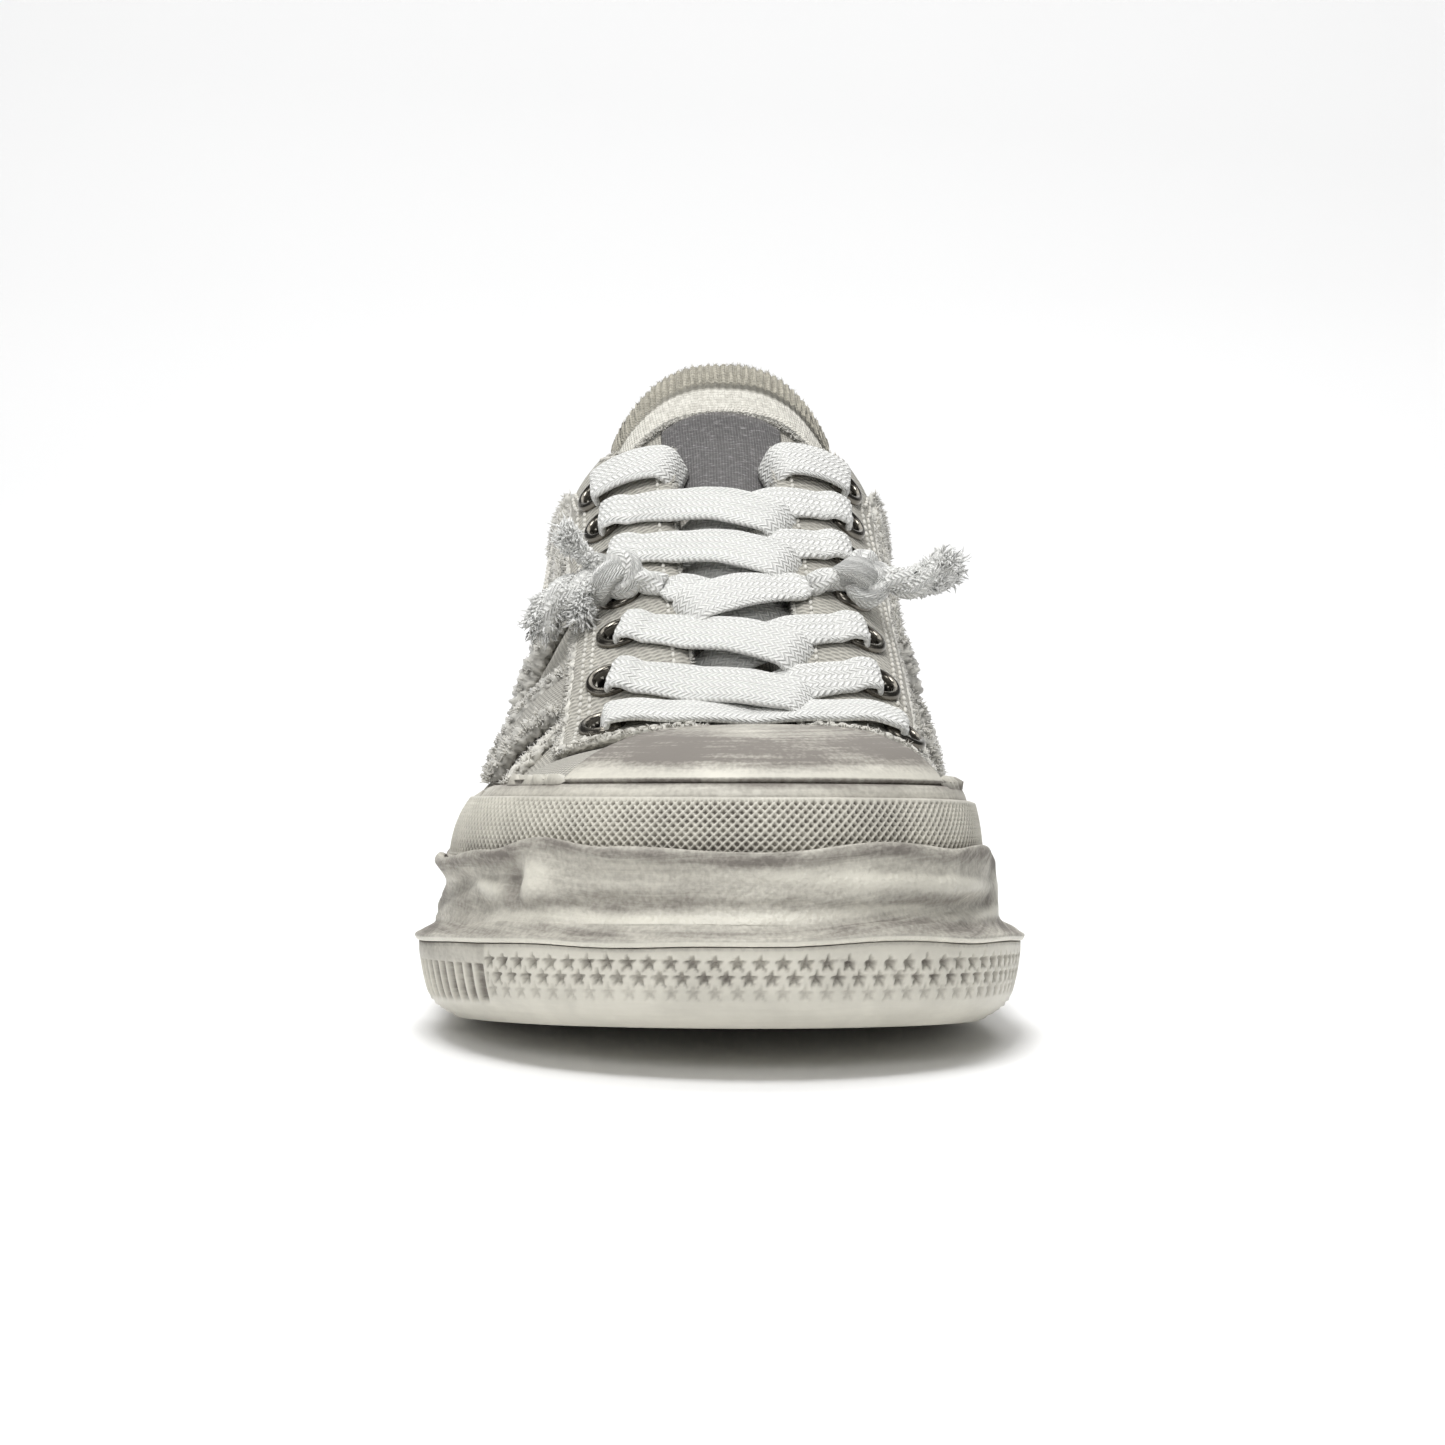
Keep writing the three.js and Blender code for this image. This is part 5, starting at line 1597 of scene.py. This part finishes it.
def twisted_points(path, radius, twist):
    """A cord of twisted strands along a path."""
    count = len(path)
    angle = np.linspace(0, 2 * np.pi, 31)[:, None]
    run = run_along(path)
    lobes = 1 + 0.16 * np.cos(3 * angle + 2 * np.pi * run / twist)
    size = radius * lobes * (0.95 + 0.4 * smooth_step(run / run[-1], 0.45, 0.85))
    up = np.tile(np.array([[0.0, -0.3, 1.0]]), (count, 1))
    return sweep(path, up, size * np.cos(angle), size * np.sin(angle))


def knot_points(name, sign):
    """An overhand knot: a fat band along a closed trefoil."""
    middle, normal = knot_middle(name, sign)
    t = np.linspace(0, 2 * np.pi, 121)
    flat = np.stack(
        [
            (np.sin(t) + 2 * np.sin(2 * t)) * 1.3,
            (np.cos(t) - 2 * np.cos(2 * t)) * 1.3,
            -np.sin(3 * t) * 2.1,
        ],
        axis=1,
    )
    turn = np.array(Vector(normal).to_track_quat("Z", "Y").to_matrix())
    path = flat @ turn.T + middle
    angle = np.linspace(0, 2 * np.pi, 25)[:, None]
    run = run_along(path)
    lobes = 1 + 0.08 * np.cos(4 * angle + 2 * np.pi * run / 9)
    up = np.tile(normal, (len(path), 1))
    return sweep(path, up, 2.8 * lobes * np.cos(angle), 2.7 * lobes * np.sin(angle))


# Frays and stitches.
def along_line(run, values, where):
    """Values interpolated at places along a line."""
    return np.stack([np.interp(where, run, values[:, k]) for k in range(3)], axis=-1)


def strand_mesh(name, points, columns):
    """Many small closed tubes from one lattice: each takes a few columns, and the faces between them go."""
    mesh = lattice_mesh(name, points)
    bm = bmesh.new()
    bm.from_mesh(mesh)
    per_course = points.shape[1] - 1
    between = [face for face in bm.faces if face.index % per_course % columns == columns - 1]
    bmesh.ops.delete(bm, geom=between, context="FACES")
    bmesh.ops.remove_doubles(bm, verts=bm.verts, dist=0.0004 * MM)
    bm.to_mesh(mesh)
    bm.free()
    return mesh


def rings(middles, tangents, radii, sides):
    """Rings of points round middles, the last point on the first."""
    helper = np.where(np.abs(tangents[:, 2:]) < 0.8, [[0.0, 0.0, 1.0]], [[1.0, 0.0, 0.0]])
    first = unit(np.cross(tangents, helper))
    second = np.cross(tangents, first)
    angle = np.linspace(0, 2 * np.pi, sides + 1)[None, :, None]
    ring = first[:, None] * np.cos(angle) + second[:, None] * np.sin(angle)
    return (middles[:, None] + ring * np.asarray(radii)[:, None, None]).reshape(-1, 3)


class Threads:
    """Many short bent threads, joined in one mesh."""

    def __init__(self, seed):
        self.rng = np.random.default_rng(seed)
        self.parts = []

    def add(self, roots, headings, lengths, radii):
        """Threads that leave their roots along headings and bend a little on their way."""
        count = len(roots)
        headings = unit(headings)
        lengths = np.broadcast_to(lengths, count)[:, None]
        radii = np.broadcast_to(radii, count)
        middles = roots + headings * lengths * 0.55
        turned = unit(headings + self.rng.normal(size=(count, 3)) * 0.6)
        self.parts.append((roots, middles, middles + turned * lengths * 0.45, headings, turned, radii))

    def fringe(self, path, out, normal, density, length, radius, lift=0.35, spread=0.45):
        """Threads along an edge, pointing out of it."""
        run = run_along(path)
        count = int(run[-1] * density)
        where = self.rng.uniform(0, run[-1], count)
        roots, ways, ups = (along_line(run, values, where) for values in (path, out, normal))
        headings = ways + ups * self.rng.normal(lift, spread, (count, 1))
        headings = headings + self.rng.normal(size=(count, 3)) * 0.35
        lengths = length * self.rng.uniform(0.45, 1.35, count)
        self.add(roots, headings, lengths, radius * self.rng.uniform(0.7, 1.3, count))

    def chenille(self, path, normal, density, length, radius, width):
        """A fuzzy ridge: short threads all round the upper half of a line."""
        side = unit(np.cross(normal, unit(np.gradient(path, axis=0))))
        run = run_along(path)
        count = int(run[-1] * density)
        where = self.rng.uniform(0, run[-1], count)
        roots, across, ups = (along_line(run, values, where) for values in (path, side, normal))
        angle = self.rng.uniform(-1.5, 1.5, (count, 1))
        headings = ups * np.cos(angle) + across * np.sin(angle) + self.rng.normal(size=(count, 3)) * 0.3
        roots = roots + across * self.rng.uniform(-width, width, (count, 1)) / 2
        self.add(roots, headings, length * self.rng.uniform(0.5, 1.3, count), radius)

    def mesh(self, name):
        """The joined threads: four courses of three sides each, drawn in to a point at both ends."""
        roots, middles, tips, headings, turned, radii = (np.concatenate(c) for c in zip(*self.parts))
        courses = (
            rings(roots, headings, radii * 0, 3),
            rings(roots, headings, radii, 3),
            rings(middles, unit(headings + turned), radii * 0.85, 3),
            rings(tips, turned, radii * 0, 3),
        )
        return strand_mesh(name, np.stack(courses), 4)


def new_threads():
    """An empty set of threads with the user's seed."""
    return Threads(bpy.context.scene.sneaker_cloth.seed)


def edge_line(points, normals, edge):
    """One edge of a lattice as a line, its way out of the sheet, and its normals."""
    pick = {
        "low": (points[0], points[0] - points[2], normals[0]),
        "high": (points[-1], points[-1] - points[-3], normals[-1]),
        "first": (points[:, 0], points[:, 0] - points[:, 2], normals[:, 0]),
        "last": (points[:, -1], points[:, -1] - points[:, -3], normals[:, -1]),
    }
    line, out, normal = pick[edge]
    return line, unit(out), normal


def roll_points(path, normal, radius, seed):
    """A nubby roll of frayed cloth along a line, and how deep each point lies between its nubs."""
    rng = np.random.default_rng(seed)
    run = run_along(path)
    where = np.linspace(0, run[-1], int(run[-1] / 0.45) + 1)
    line = along_line(run, path, where)
    nub = rng.normal(size=(15, len(where)))
    nub[-1] = nub[0]
    nub = np.clip((nub + np.roll(nub, 1, axis=1)) / 1.6, -1.4, 1.4)
    taper = smooth_step(np.minimum(where, run[-1] - where), -0.4, 2.0)
    size = radius * taper * (1 + 0.26 * nub)
    angle = np.linspace(0, 2 * np.pi, 15)[:, None]
    up = unit(along_line(run, normal, where))
    # The second value, higher where the roll is thinner, paints shade between the nubs.
    return sweep(line, up, size * np.cos(angle), size * np.sin(angle)), np.clip(0.4 - 0.5 * nub, 0, 1)


def stitch_mesh(name, lines):
    """Rows of short plump stitches along lines on a sheet."""
    pitch = bpy.context.scene.sneaker_cloth.stitch_pitch / MM
    starts, ends = [], []
    for path, normal in lines:
        run = run_along(path)
        where = np.arange(pitch / 2, run[-1] - pitch / 2, pitch)
        lifted = path + normal * 0.12
        starts.append(along_line(run, lifted, where - 0.36 * pitch))
        ends.append(along_line(run, lifted, where + 0.36 * pitch))
    starts, ends = np.concatenate(starts), np.concatenate(ends)
    way = unit(ends - starts)
    courses = [
        rings(starts + (ends - starts) * share, way, np.full(len(starts), radius), 6)
        for share, radius in ((0, 0), (0.08, 0.3), (0.5, 0.44), (0.92, 0.3), (1, 0))
    ]
    return strand_mesh(name, np.stack(courses), 7)


def inner_line(points, normals, course=None, column=None):
    """A line along a lattice, for stitches."""
    if course is not None:
        return points[course], normals[course]
    return points[:, column], normals[:, column]


# Operators.
def facing(way):
    """The turn of a camera or lamp that looks along a way."""
    return way.to_track_quat("-Z", "Y").to_euler()


class SNEAKER_OT_stage(bpy.types.Operator):
    """Set up the camera, the floor and soft studio light"""

    bl_idname = "sneaker.stage"
    bl_label = "Stage"

    def execute(self, context):
        sizes = context.scene.sneaker_stage
        target = Vector(sizes.target)
        away = Vector((0, -math.cos(sizes.elevation), math.sin(sizes.elevation)))
        camera = bpy.data.objects.new("camera", bpy.data.cameras.new("camera"))
        camera.data.lens = sizes.lens
        camera.data.sensor_width = 36
        camera.data.clip_start = 0.05
        camera.location = target + away * sizes.distance
        camera.rotation_euler = facing(-away)
        context.scene.collection.objects.link(camera)
        context.scene.camera = camera
        self.floor(context, sizes)
        self.lights(context)
        return {"FINISHED"}

    def floor(self, context, sizes):
        """A pale sweep that curves up behind the shoe."""
        bm = bmesh.new()
        bmesh.ops.create_grid(bm, x_segments=1, y_segments=24, size=3)
        for vert in bm.verts:
            back = max(0.0, vert.co.y - 1.2)
            vert.co.z = 1.6 * back * back / 3 - 0.0002
        mesh = bpy.data.meshes.new("floor")
        bm.to_mesh(mesh)
        bm.free()
        finish = Finish("floor paper", 0.9, specular=0.1)
        tone = finish.noise(finish.place(), 3, 2)
        finish.colour(finish.blend(tone, sizes.floor, tuple(c * 0.985 for c in sizes.floor)))
        mesh.materials.append(finish.material)
        mesh.shade_smooth()
        floor = bpy.data.objects.new("floor", mesh)
        context.scene.collection.objects.link(floor)

    def lights(self, context):
        """Soft lights over, before, beside and behind the shoe, one on the backdrop, and a dim surround."""
        shoe = (0, -0.03, 0.05)
        lamps = (
            # name, place, aim, energy, size
            ("overhead", (-0.1, -0.45, 1.2), shoe, 10.5, 0.45),
            ("front", (-0.3, -1.5, 0.9), shoe, 5.2, 0.5),
            ("right", (1.2, -0.8, 0.7), shoe, 0.8, 0.6),
            ("left", (-1.3, -0.7, 0.5), shoe, 1.3, 0.6),
            ("rim", (0.2, 1.1, 1.1), shoe, 4.0, 0.9),
            ("backdrop", (0, 1.0, 2.6), (0, 2.6, 0.7), 60.0, 2.5),
        )
        for name, where, aim, energy, size in lamps:
            light = bpy.data.lights.new(name, "AREA")
            light.energy = energy
            light.size = size
            lamp = bpy.data.objects.new(name, light)
            lamp.location = where
            lamp.rotation_euler = facing(Vector(aim) - Vector(where))
            context.scene.collection.objects.link(lamp)
        world = bpy.data.worlds.new("surround")
        world.use_nodes = True
        world.node_tree.nodes["Background"].inputs["Color"].default_value = (1, 1, 1, 1)
        world.node_tree.nodes["Background"].inputs["Strength"].default_value = 0.13
        context.scene.world = world
        context.scene.view_settings.view_transform = "Standard"


class SNEAKER_OT_lace_ends(bpy.types.Operator):
    """Tie the two knots and lay the lace's frayed free ends"""

    bl_idname = "sneaker.lace_ends"
    bl_label = "Lace ends"

    def execute(self, context):
        sizes = context.scene.sneaker_lace
        for name, sign in SIDES:
            path = end_path(name, sign)
            cord = finish_piece(
                f"lace_end_{name}_cord",
                lace_mesh(f"lace_end_{name}_cord", [twisted_points(path, sizes.end_diameter / MM / 2, 7.0)]),
                "lace_cotton",
                [f"lace_end_{name}"],
            )
            middle, normal = knot_middle(name, sign)
            strands = [through(middle + np.array(route), 30) for route in LOOSE_STRANDS[name]]
            cores = [roll_points(strand, np.tile(normal, (30, 1)), 1.7, 3)[0] for strand in strands]
            knot = finish_piece(
                f"lace_knot_{name}_tied",
                lace_mesh(f"lace_knot_{name}_tied", [knot_points(name, sign), *cores]),
                "lace_cotton",
                [f"lace_knot_{name}"],
            )
            tuft = self.tuft(name, [(path[16:], 2.5, 1100), *((strand, 1.6, 500) for strand in strands)])
        return {"FINISHED"}

    def tuft(self, name, paths):
        """The frayed ends: curly threads all along the loose strands, longest at their tips."""
        threads = new_threads()
        for path, radius, count in paths:
            share = threads.rng.uniform(0, 1, count) ** 0.6
            where = (share * (len(path) - 1)).astype(int)
            way = unit(np.gradient(path, axis=0))[where]
            off = unit(threads.rng.normal(size=(count, 3)))
            roots = path[where] + off * radius * (0.9 + 0.35 * share[:, None])
            headings = way * 0.6 + off * 0.9 + threads.rng.normal(size=(count, 3)) * 0.4
            threads.add(roots, headings, (0.7 + 1.9 * share**3) * threads.rng.uniform(0.7, 1.4, count), 0.28)
        return finish_piece(f"lace_tuft_{name}", threads.mesh("lace_tuft"), "white_thread")


class SNEAKER_OT_outsole(bpy.types.Operator):
    """Mould the outsole with its star pits, ribs and striations"""

    bl_idname = "sneaker.outsole"
    bl_label = "Outsole"

    def execute(self, context):
        points, dirt = outsole_points()
        lay_piece(
            "outsole_moulded",
            points, {"dirt": dirt},
            "outsole_rubber", "outsole_rubber", ["outsole"], merge=True, recalculate=True,
        )
        return {"FINISHED"}


class SNEAKER_OT_midsole(bpy.types.Operator):
    """Mould the melted-looking midsole with its folds and creases"""

    bl_idname = "sneaker.midsole"
    bl_label = "Midsole"

    def execute(self, context):
        points, dirt = midsole_points()
        lay_piece(
            "midsole_moulded",
            points, {"dirt": dirt},
            "midsole_rubber", "midsole_rubber", ["midsole"], merge=True, recalculate=True,
        )
        return {"FINISHED"}


class SNEAKER_OT_bands(bpy.types.Operator):
    """Wrap the foxing, the knurled toe bumper and the toe cap"""

    bl_idname = "sneaker.bands"
    bl_label = "Foxing, bumper and cap"

    def execute(self, context):
        points, dirt = foxing_points()
        lay_piece(
            "foxing_band",
            points, {"dirt": dirt},
            "foxing_rubber", "foxing_rubber", ["foxing"], wall=1.8, merge=True,
        )
        points, dirt = bumper_points()
        lay_piece(
            "toe_bumper_knurled",
            points, {"dirt": dirt},
            "outsole_rubber", "bumper_rubber", ["toe_bumper"], merge=True,
        )
        points, dirt = cap_points()
        lay_piece(
            "toe_cap_smeared",
            points, {"dirt": dirt},
            "cap_rubber", "cap_rubber", ["toe_cap"], wall=1.4,
        )
        return {"FINISHED"}


class SNEAKER_OT_upper(bpy.types.Operator):
    """Sew the canvas upper and lay the insole"""

    bl_idname = "sneaker.upper"
    bl_label = "Upper and insole"

    def execute(self, context):
        points, dirt = upper_points()
        mesh = lattice_mesh("upper_canvas", points, {"dirt": dirt}, merge=True)
        pierce(mesh)
        finish_piece("upper_canvas", mesh, "canvas", ["upper"], wall=WALL)
        lay_piece(
            "insole_cloth",
            insole_points(), {"dirt": 0.2},
            "insole_cloth", "insole_cloth", ["insole"], merge=True, recalculate=True, level=True,
        )
        return {"FINISHED"}


class SNEAKER_OT_panels(bpy.types.Operator):
    """Sew the eyestays, side strips and heel panel with their frays and stitches"""

    bl_idname = "sneaker.panels"
    bl_label = "Panels"

    def execute(self, context):
        pale = new_threads()
        grey = new_threads()
        stitches = []
        self.rolls = {"pale": [], "grey": []}
        for name, sign in SIDES:
            self.eyestay(name, sign, pale, grey, stitches)
            self.strip(name, sign, pale, grey)
            self.seam(sign, pale)
        self.heel(pale, grey, stitches)
        finish_piece("pale_frays", pale.mesh("pale_frays"), "pale_thread")
        finish_piece("grey_frays", grey.mesh("grey_frays"), "grey_thread")
        finish_piece("pale_rolls", joined_mesh("pale_rolls", self.rolls["pale"]), "pale_roll")
        finish_piece("grey_rolls", joined_mesh("grey_rolls", self.rolls["grey"]), "grey_roll")
        finish_piece("panel_stitches", stitch_mesh("panel_stitches", stitches), "pale_thread")
        return {"FINISHED"}

    def roll(self, tone, path, normal, radius):
        """One more frayed roll along an edge."""
        points, deep = roll_points(path, normal, radius, len(self.rolls[tone]))
        self.rolls[tone].append((points, {"deep": deep}))

    def seam(self, sign, pale):
        """The frayed seam in front of the side strip, from the eyestay down to the foxing."""
        share = np.linspace(0, 1, 60)
        rows = side_row(229 - 13 * share, sign)
        turn = overlay_foot(rows) * (1 - share) + eyestay_foot(rows) * share
        normal = last_normal(rows, turn)
        line = last_point(rows, turn) + normal * 0.5
        self.roll("pale", line + normal * 0.3, normal, 1.3)
        pale.chenille(line + normal * 0.8, normal, 16, 1.4, 0.2, 2.0)

    def eyestay(self, name, sign, pale, grey, stitches):
        """One eyestay, frayed on both long edges, with a double row of stitches."""
        points, dirt = eyestay_points(sign)
        normals = lattice_normals(points, False)
        mesh = lattice_mesh(f"eyestay_{name}_twill", points, {"dirt": dirt})
        pierce(mesh, name)
        finish_piece(f"eyestay_{name}_twill", mesh, "twill_canvas", [f"eyestay_{name}"], wall=1.9)
        line, out, normal = edge_line(points, normals, "low")
        self.roll("pale", line - normal * 0.4, normal, 0.75)
        pale.fringe(line, out, normal, 6, 1.5, 0.17)
        grey.chenille(line + out * 0.8, normal, 7, 1.2, 0.17, 1.6)
        line, out, normal = edge_line(points, normals, "high")
        pale.fringe(line, out, normal, 6, 1.2, 0.15)
        for course in (5, 8, 34):
            stitches.append(inner_line(points, normals, course=course))
        front = -3 if sign < 0 else 2
        stitches.append(inner_line(points, normals, column=front))
        line, out, normal = edge_line(points, normals, "last" if sign < 0 else "first")
        self.roll("pale", line - normal * 0.5, normal, 0.8)
        pale.fringe(line, out, normal, 8, 1.5, 0.17)

    def strip(self, name, sign, pale, grey):
        """One side strip between two fuzzy ridges."""
        points, dirt = strip_points(sign)
        normals = lattice_normals(points, False)
        lay_piece(
            f"side_strip_{name}_cloth",
            points, {"dirt": dirt},
            "grey_canvas", "grey_canvas", [f"side_strip_{name}"], wall=2.2,
        )
        for edge in ("first", "last"):
            line, out, normal = edge_line(points, normals, edge)
            front = (edge == "last") == (sign < 0)
            threads = pale if front else grey
            self.roll("grey", line - out * 0.8 - normal * 0.3, normal, 1.9)
            threads.chenille(line - out * 0.8 + normal * 0.8, normal, 17, 1.6, 0.21, 3.0)

    def heel(self, pale, grey, stitches):
        """The panel round the heel, frayed along its top and down its two front edges."""
        points, dirt = panel_points()
        normals = lattice_normals(points, False)
        lay_piece(
            "heel_panel_cloth",
            points, {"dirt": dirt},
            "grey_canvas", "grey_canvas", ["heel_panel"], wall=2.2,
        )
        line, out, normal = edge_line(points, normals, "high")
        self.roll("grey", line - out * 0.6 - normal * 0.3, normal, 1.2)
        grey.chenille(line - out * 0.6 + normal * 0.4, normal, 8, 1.6, 0.18, 2.0)
        pale.fringe(line, out, normal, 3, 2.0, 0.15)
        for edge in ("first", "last"):
            line, out, normal = edge_line(points, normals, edge)
            self.roll("grey", line - out * 0.8, normal, 2.3)
            grey.chenille(line - out * 0.8 + normal * 0.8, normal, 17, 1.8, 0.21, 3.4)
        for course in (28, 26):
            stitches.append(inner_line(points, normals, course=course))


class SNEAKER_OT_tongue(bpy.types.Operator):
    """Sew the tongue with its banded top and the bare label"""

    bl_idname = "sneaker.tongue"
    bl_label = "Tongue and label"

    def execute(self, context):
        points, marks = tongue_points()
        normals = lattice_normals(points, False)
        lay_piece(
            "tongue_cloth",
            points, marks,
            "cream_canvas", "cream_canvas", ["tongue"], wall=TONGUE_THICK,
        )
        lay_piece(
            "tongue_root_cloth",
            tongue_root_points(), {"dirt": 0.3},
            "cream_canvas", "cream_canvas", wall=1.5,
        )
        grey = new_threads()
        line, out, normal = edge_line(points, normals, "high")
        grey.fringe(line - normal * 0.8, out, normal, 11, 1.2, 0.14)
        pale = new_threads()
        course = -14
        pale.chenille(points[course], normals[course], 12, 0.9, 0.16, 1.0)
        finish_piece("tongue_grey_frays", grey.mesh("tongue_grey_frays"), "grey_thread")
        finish_piece("tongue_pale_frays", pale.mesh("tongue_pale_frays"), "pale_thread")
        points, dirt = label_points()
        lay_piece(
            "tongue_label_cloth",
            points, {"dirt": dirt},
            "label_cloth", "label_cloth", ["tongue_label"], wall=0.85,
        )
        return {"FINISHED"}


class SNEAKER_OT_eyelets(bpy.types.Operator):
    """Set the rolled metal eyelets"""

    bl_idname = "sneaker.eyelets"
    bl_label = "Eyelets"

    def execute(self, context):
        nodes = [f"eyelet_{name}_{i + 1}" for name, _ in SIDES for i in range(len(EYELETS))]
        finish_piece("eyelets_rolled", eyelets_mesh(), "gunmetal", nodes)
        return {"FINISHED"}


class SNEAKER_OT_laces(bpy.types.Operator):
    """Run the flat lace through the eyelets: bar, crossings and top loops"""

    bl_idname = "sneaker.laces"
    bl_label = "Laces"

    def execute(self, context):
        full = context.scene.sneaker_lace.width / MM
        self.bar(full * 0.8)
        for i in range(len(EYELETS) - 2):
            lower, upper = EYELETS[i], EYELETS[i + 1]
            knotted = i + 1 == KNOT_ROW
            bands = []
            for name, sign in SIDES:
                on_top = (sign < 0) != knotted
                short = KNOT_CLEAR - 1.5 if knotted else 0.0
                path, normals = crossing_path(lower, upper, name, sign, short, on_top)
                widths = narrowing(path, full * (0.94 + 0.015 * i))
                widths = widths * (1.05 - 0.2 * smooth_step(np.linspace(0, 1, len(path)), 0.5, 0.85))
                bands.append(lace_band(path, normals, widths))
            nodes = [f"lace_crossing_{i + 1}"]
            finish_piece(
                f"lace_crossing_{i + 1}_woven",
                lace_mesh(f"lace_crossing_{i + 1}_woven", bands),
                "lace_cotton",
                nodes,
            )
        self.loops(full)
        return {"FINISHED"}

    def bar(self, full):
        """The bar across the lowest pair, down into both of its eyelets."""
        at, outer, inner = EYELETS[0]
        left = np.linspace(-outer - LACE_TAIL, 0, 40)
        across = np.concatenate([left[:-1], np.linspace(0, inner + LACE_TAIL, 40)])
        share = across / np.where(across < 0, outer, inner)
        lift = curve_through((0, 0.3, 0.55, 0.82, 1.1), (2.0, 2.8, 3.1, 4.4, LACE_OVER_RIM))
        path, normals = instep(at + 1.5 * hump(share * 0.9), across, lift(np.abs(share)))
        path = dive(path, normals, 5.5)
        path = dive(path[::-1], normals[::-1], 5.5)[::-1]
        widths = np.minimum(narrowing(path, full), narrowing(path[::-1], full)[::-1])
        mesh = lace_mesh("lace_bar_woven", [lace_band(path, normals, widths)])
        finish_piece("lace_bar_woven", mesh, "lace_cotton", ["lace_bar"])

    def loops(self, full):
        """The short loop on each side from the throat to the top eyelet."""
        pair = EYELETS[-1]
        for name, sign in SIDES:
            reach = eyelet_reach(pair, name)
            across = np.linspace(9.6, reach + LACE_TAIL, 50)
            lift = curve_through((9.6, 10.2, 11.2, 13, 16, 40), (-3.0, -0.6, 2.4, 3.8, 4.0, LACE_OVER_RIM))
            slant = 7.5 * (reach - across) / reach
            path, normals = instep(pair[0] + slant, sign * across, lift(across))
            path = dive(path, normals, 5.5)
            widths = narrowing(path, full)
            mesh = lace_mesh(f"lace_loop_{name}_woven", [lace_band(path, normals, widths)])
            finish_piece(f"lace_loop_{name}_woven", mesh, "lace_cotton", [f"lace_loop_{name}"])


OPERATORS = (
    SNEAKER_OT_stage,
    SNEAKER_OT_lace_ends,
    SNEAKER_OT_outsole,
    SNEAKER_OT_midsole,
    SNEAKER_OT_bands,
    SNEAKER_OT_upper,
    SNEAKER_OT_panels,
    SNEAKER_OT_tongue,
    SNEAKER_OT_eyelets,
    SNEAKER_OT_laces,
)


class SNEAKER_PT_panel(bpy.types.Panel):
    """Lists the sneaker's sizes and the operators that build it"""

    bl_idname = "SNEAKER_PT_panel"
    bl_label = "Worn Canvas Sneaker"
    bl_space_type = "VIEW_3D"
    bl_region_type = "UI"
    bl_category = "Sneaker"

    def draw(self, context):
        for group in GROUPS:
            sizes = getattr(context.scene, group)
            box = self.layout.box()
            for prop in sizes.bl_rna.properties:
                if prop.identifier not in ("rna_type", "name"):
                    box.prop(sizes, prop.identifier)
        for operator in OPERATORS:
            self.layout.operator(operator.bl_idname)


GROUPS = {
    "sneaker_rubber": SneakerRubber,
    "sneaker_cloth": SneakerCloth,
    "sneaker_lace": SneakerLace,
    "sneaker_stage": SneakerStage,
}


def register():
    """Registers the classes and hangs the sizes on the scene."""
    for name, group in GROUPS.items():
        bpy.utils.register_class(group)
        setattr(bpy.types.Scene, name, PointerProperty(type=group))
    for operator in OPERATORS:
        bpy.utils.register_class(operator)
    bpy.utils.register_class(SNEAKER_PT_panel)


def unregister():
    """Takes the classes and the sizes off again."""
    bpy.utils.unregister_class(SNEAKER_PT_panel)
    for operator in reversed(OPERATORS):
        bpy.utils.unregister_class(operator)
    for name, group in GROUPS.items():
        delattr(bpy.types.Scene, name)
        bpy.utils.unregister_class(group)


def main():
    """Builds the sneaker."""
    register()
    bpy.ops.sneaker.stage()
    bpy.ops.sneaker.lace_ends()
    bpy.ops.sneaker.outsole()
    bpy.ops.sneaker.midsole()
    bpy.ops.sneaker.bands()
    bpy.ops.sneaker.upper()
    bpy.ops.sneaker.panels()
    bpy.ops.sneaker.tongue()
    bpy.ops.sneaker.eyelets()
    bpy.ops.sneaker.laces()


if __name__ == "__main__":
    main()
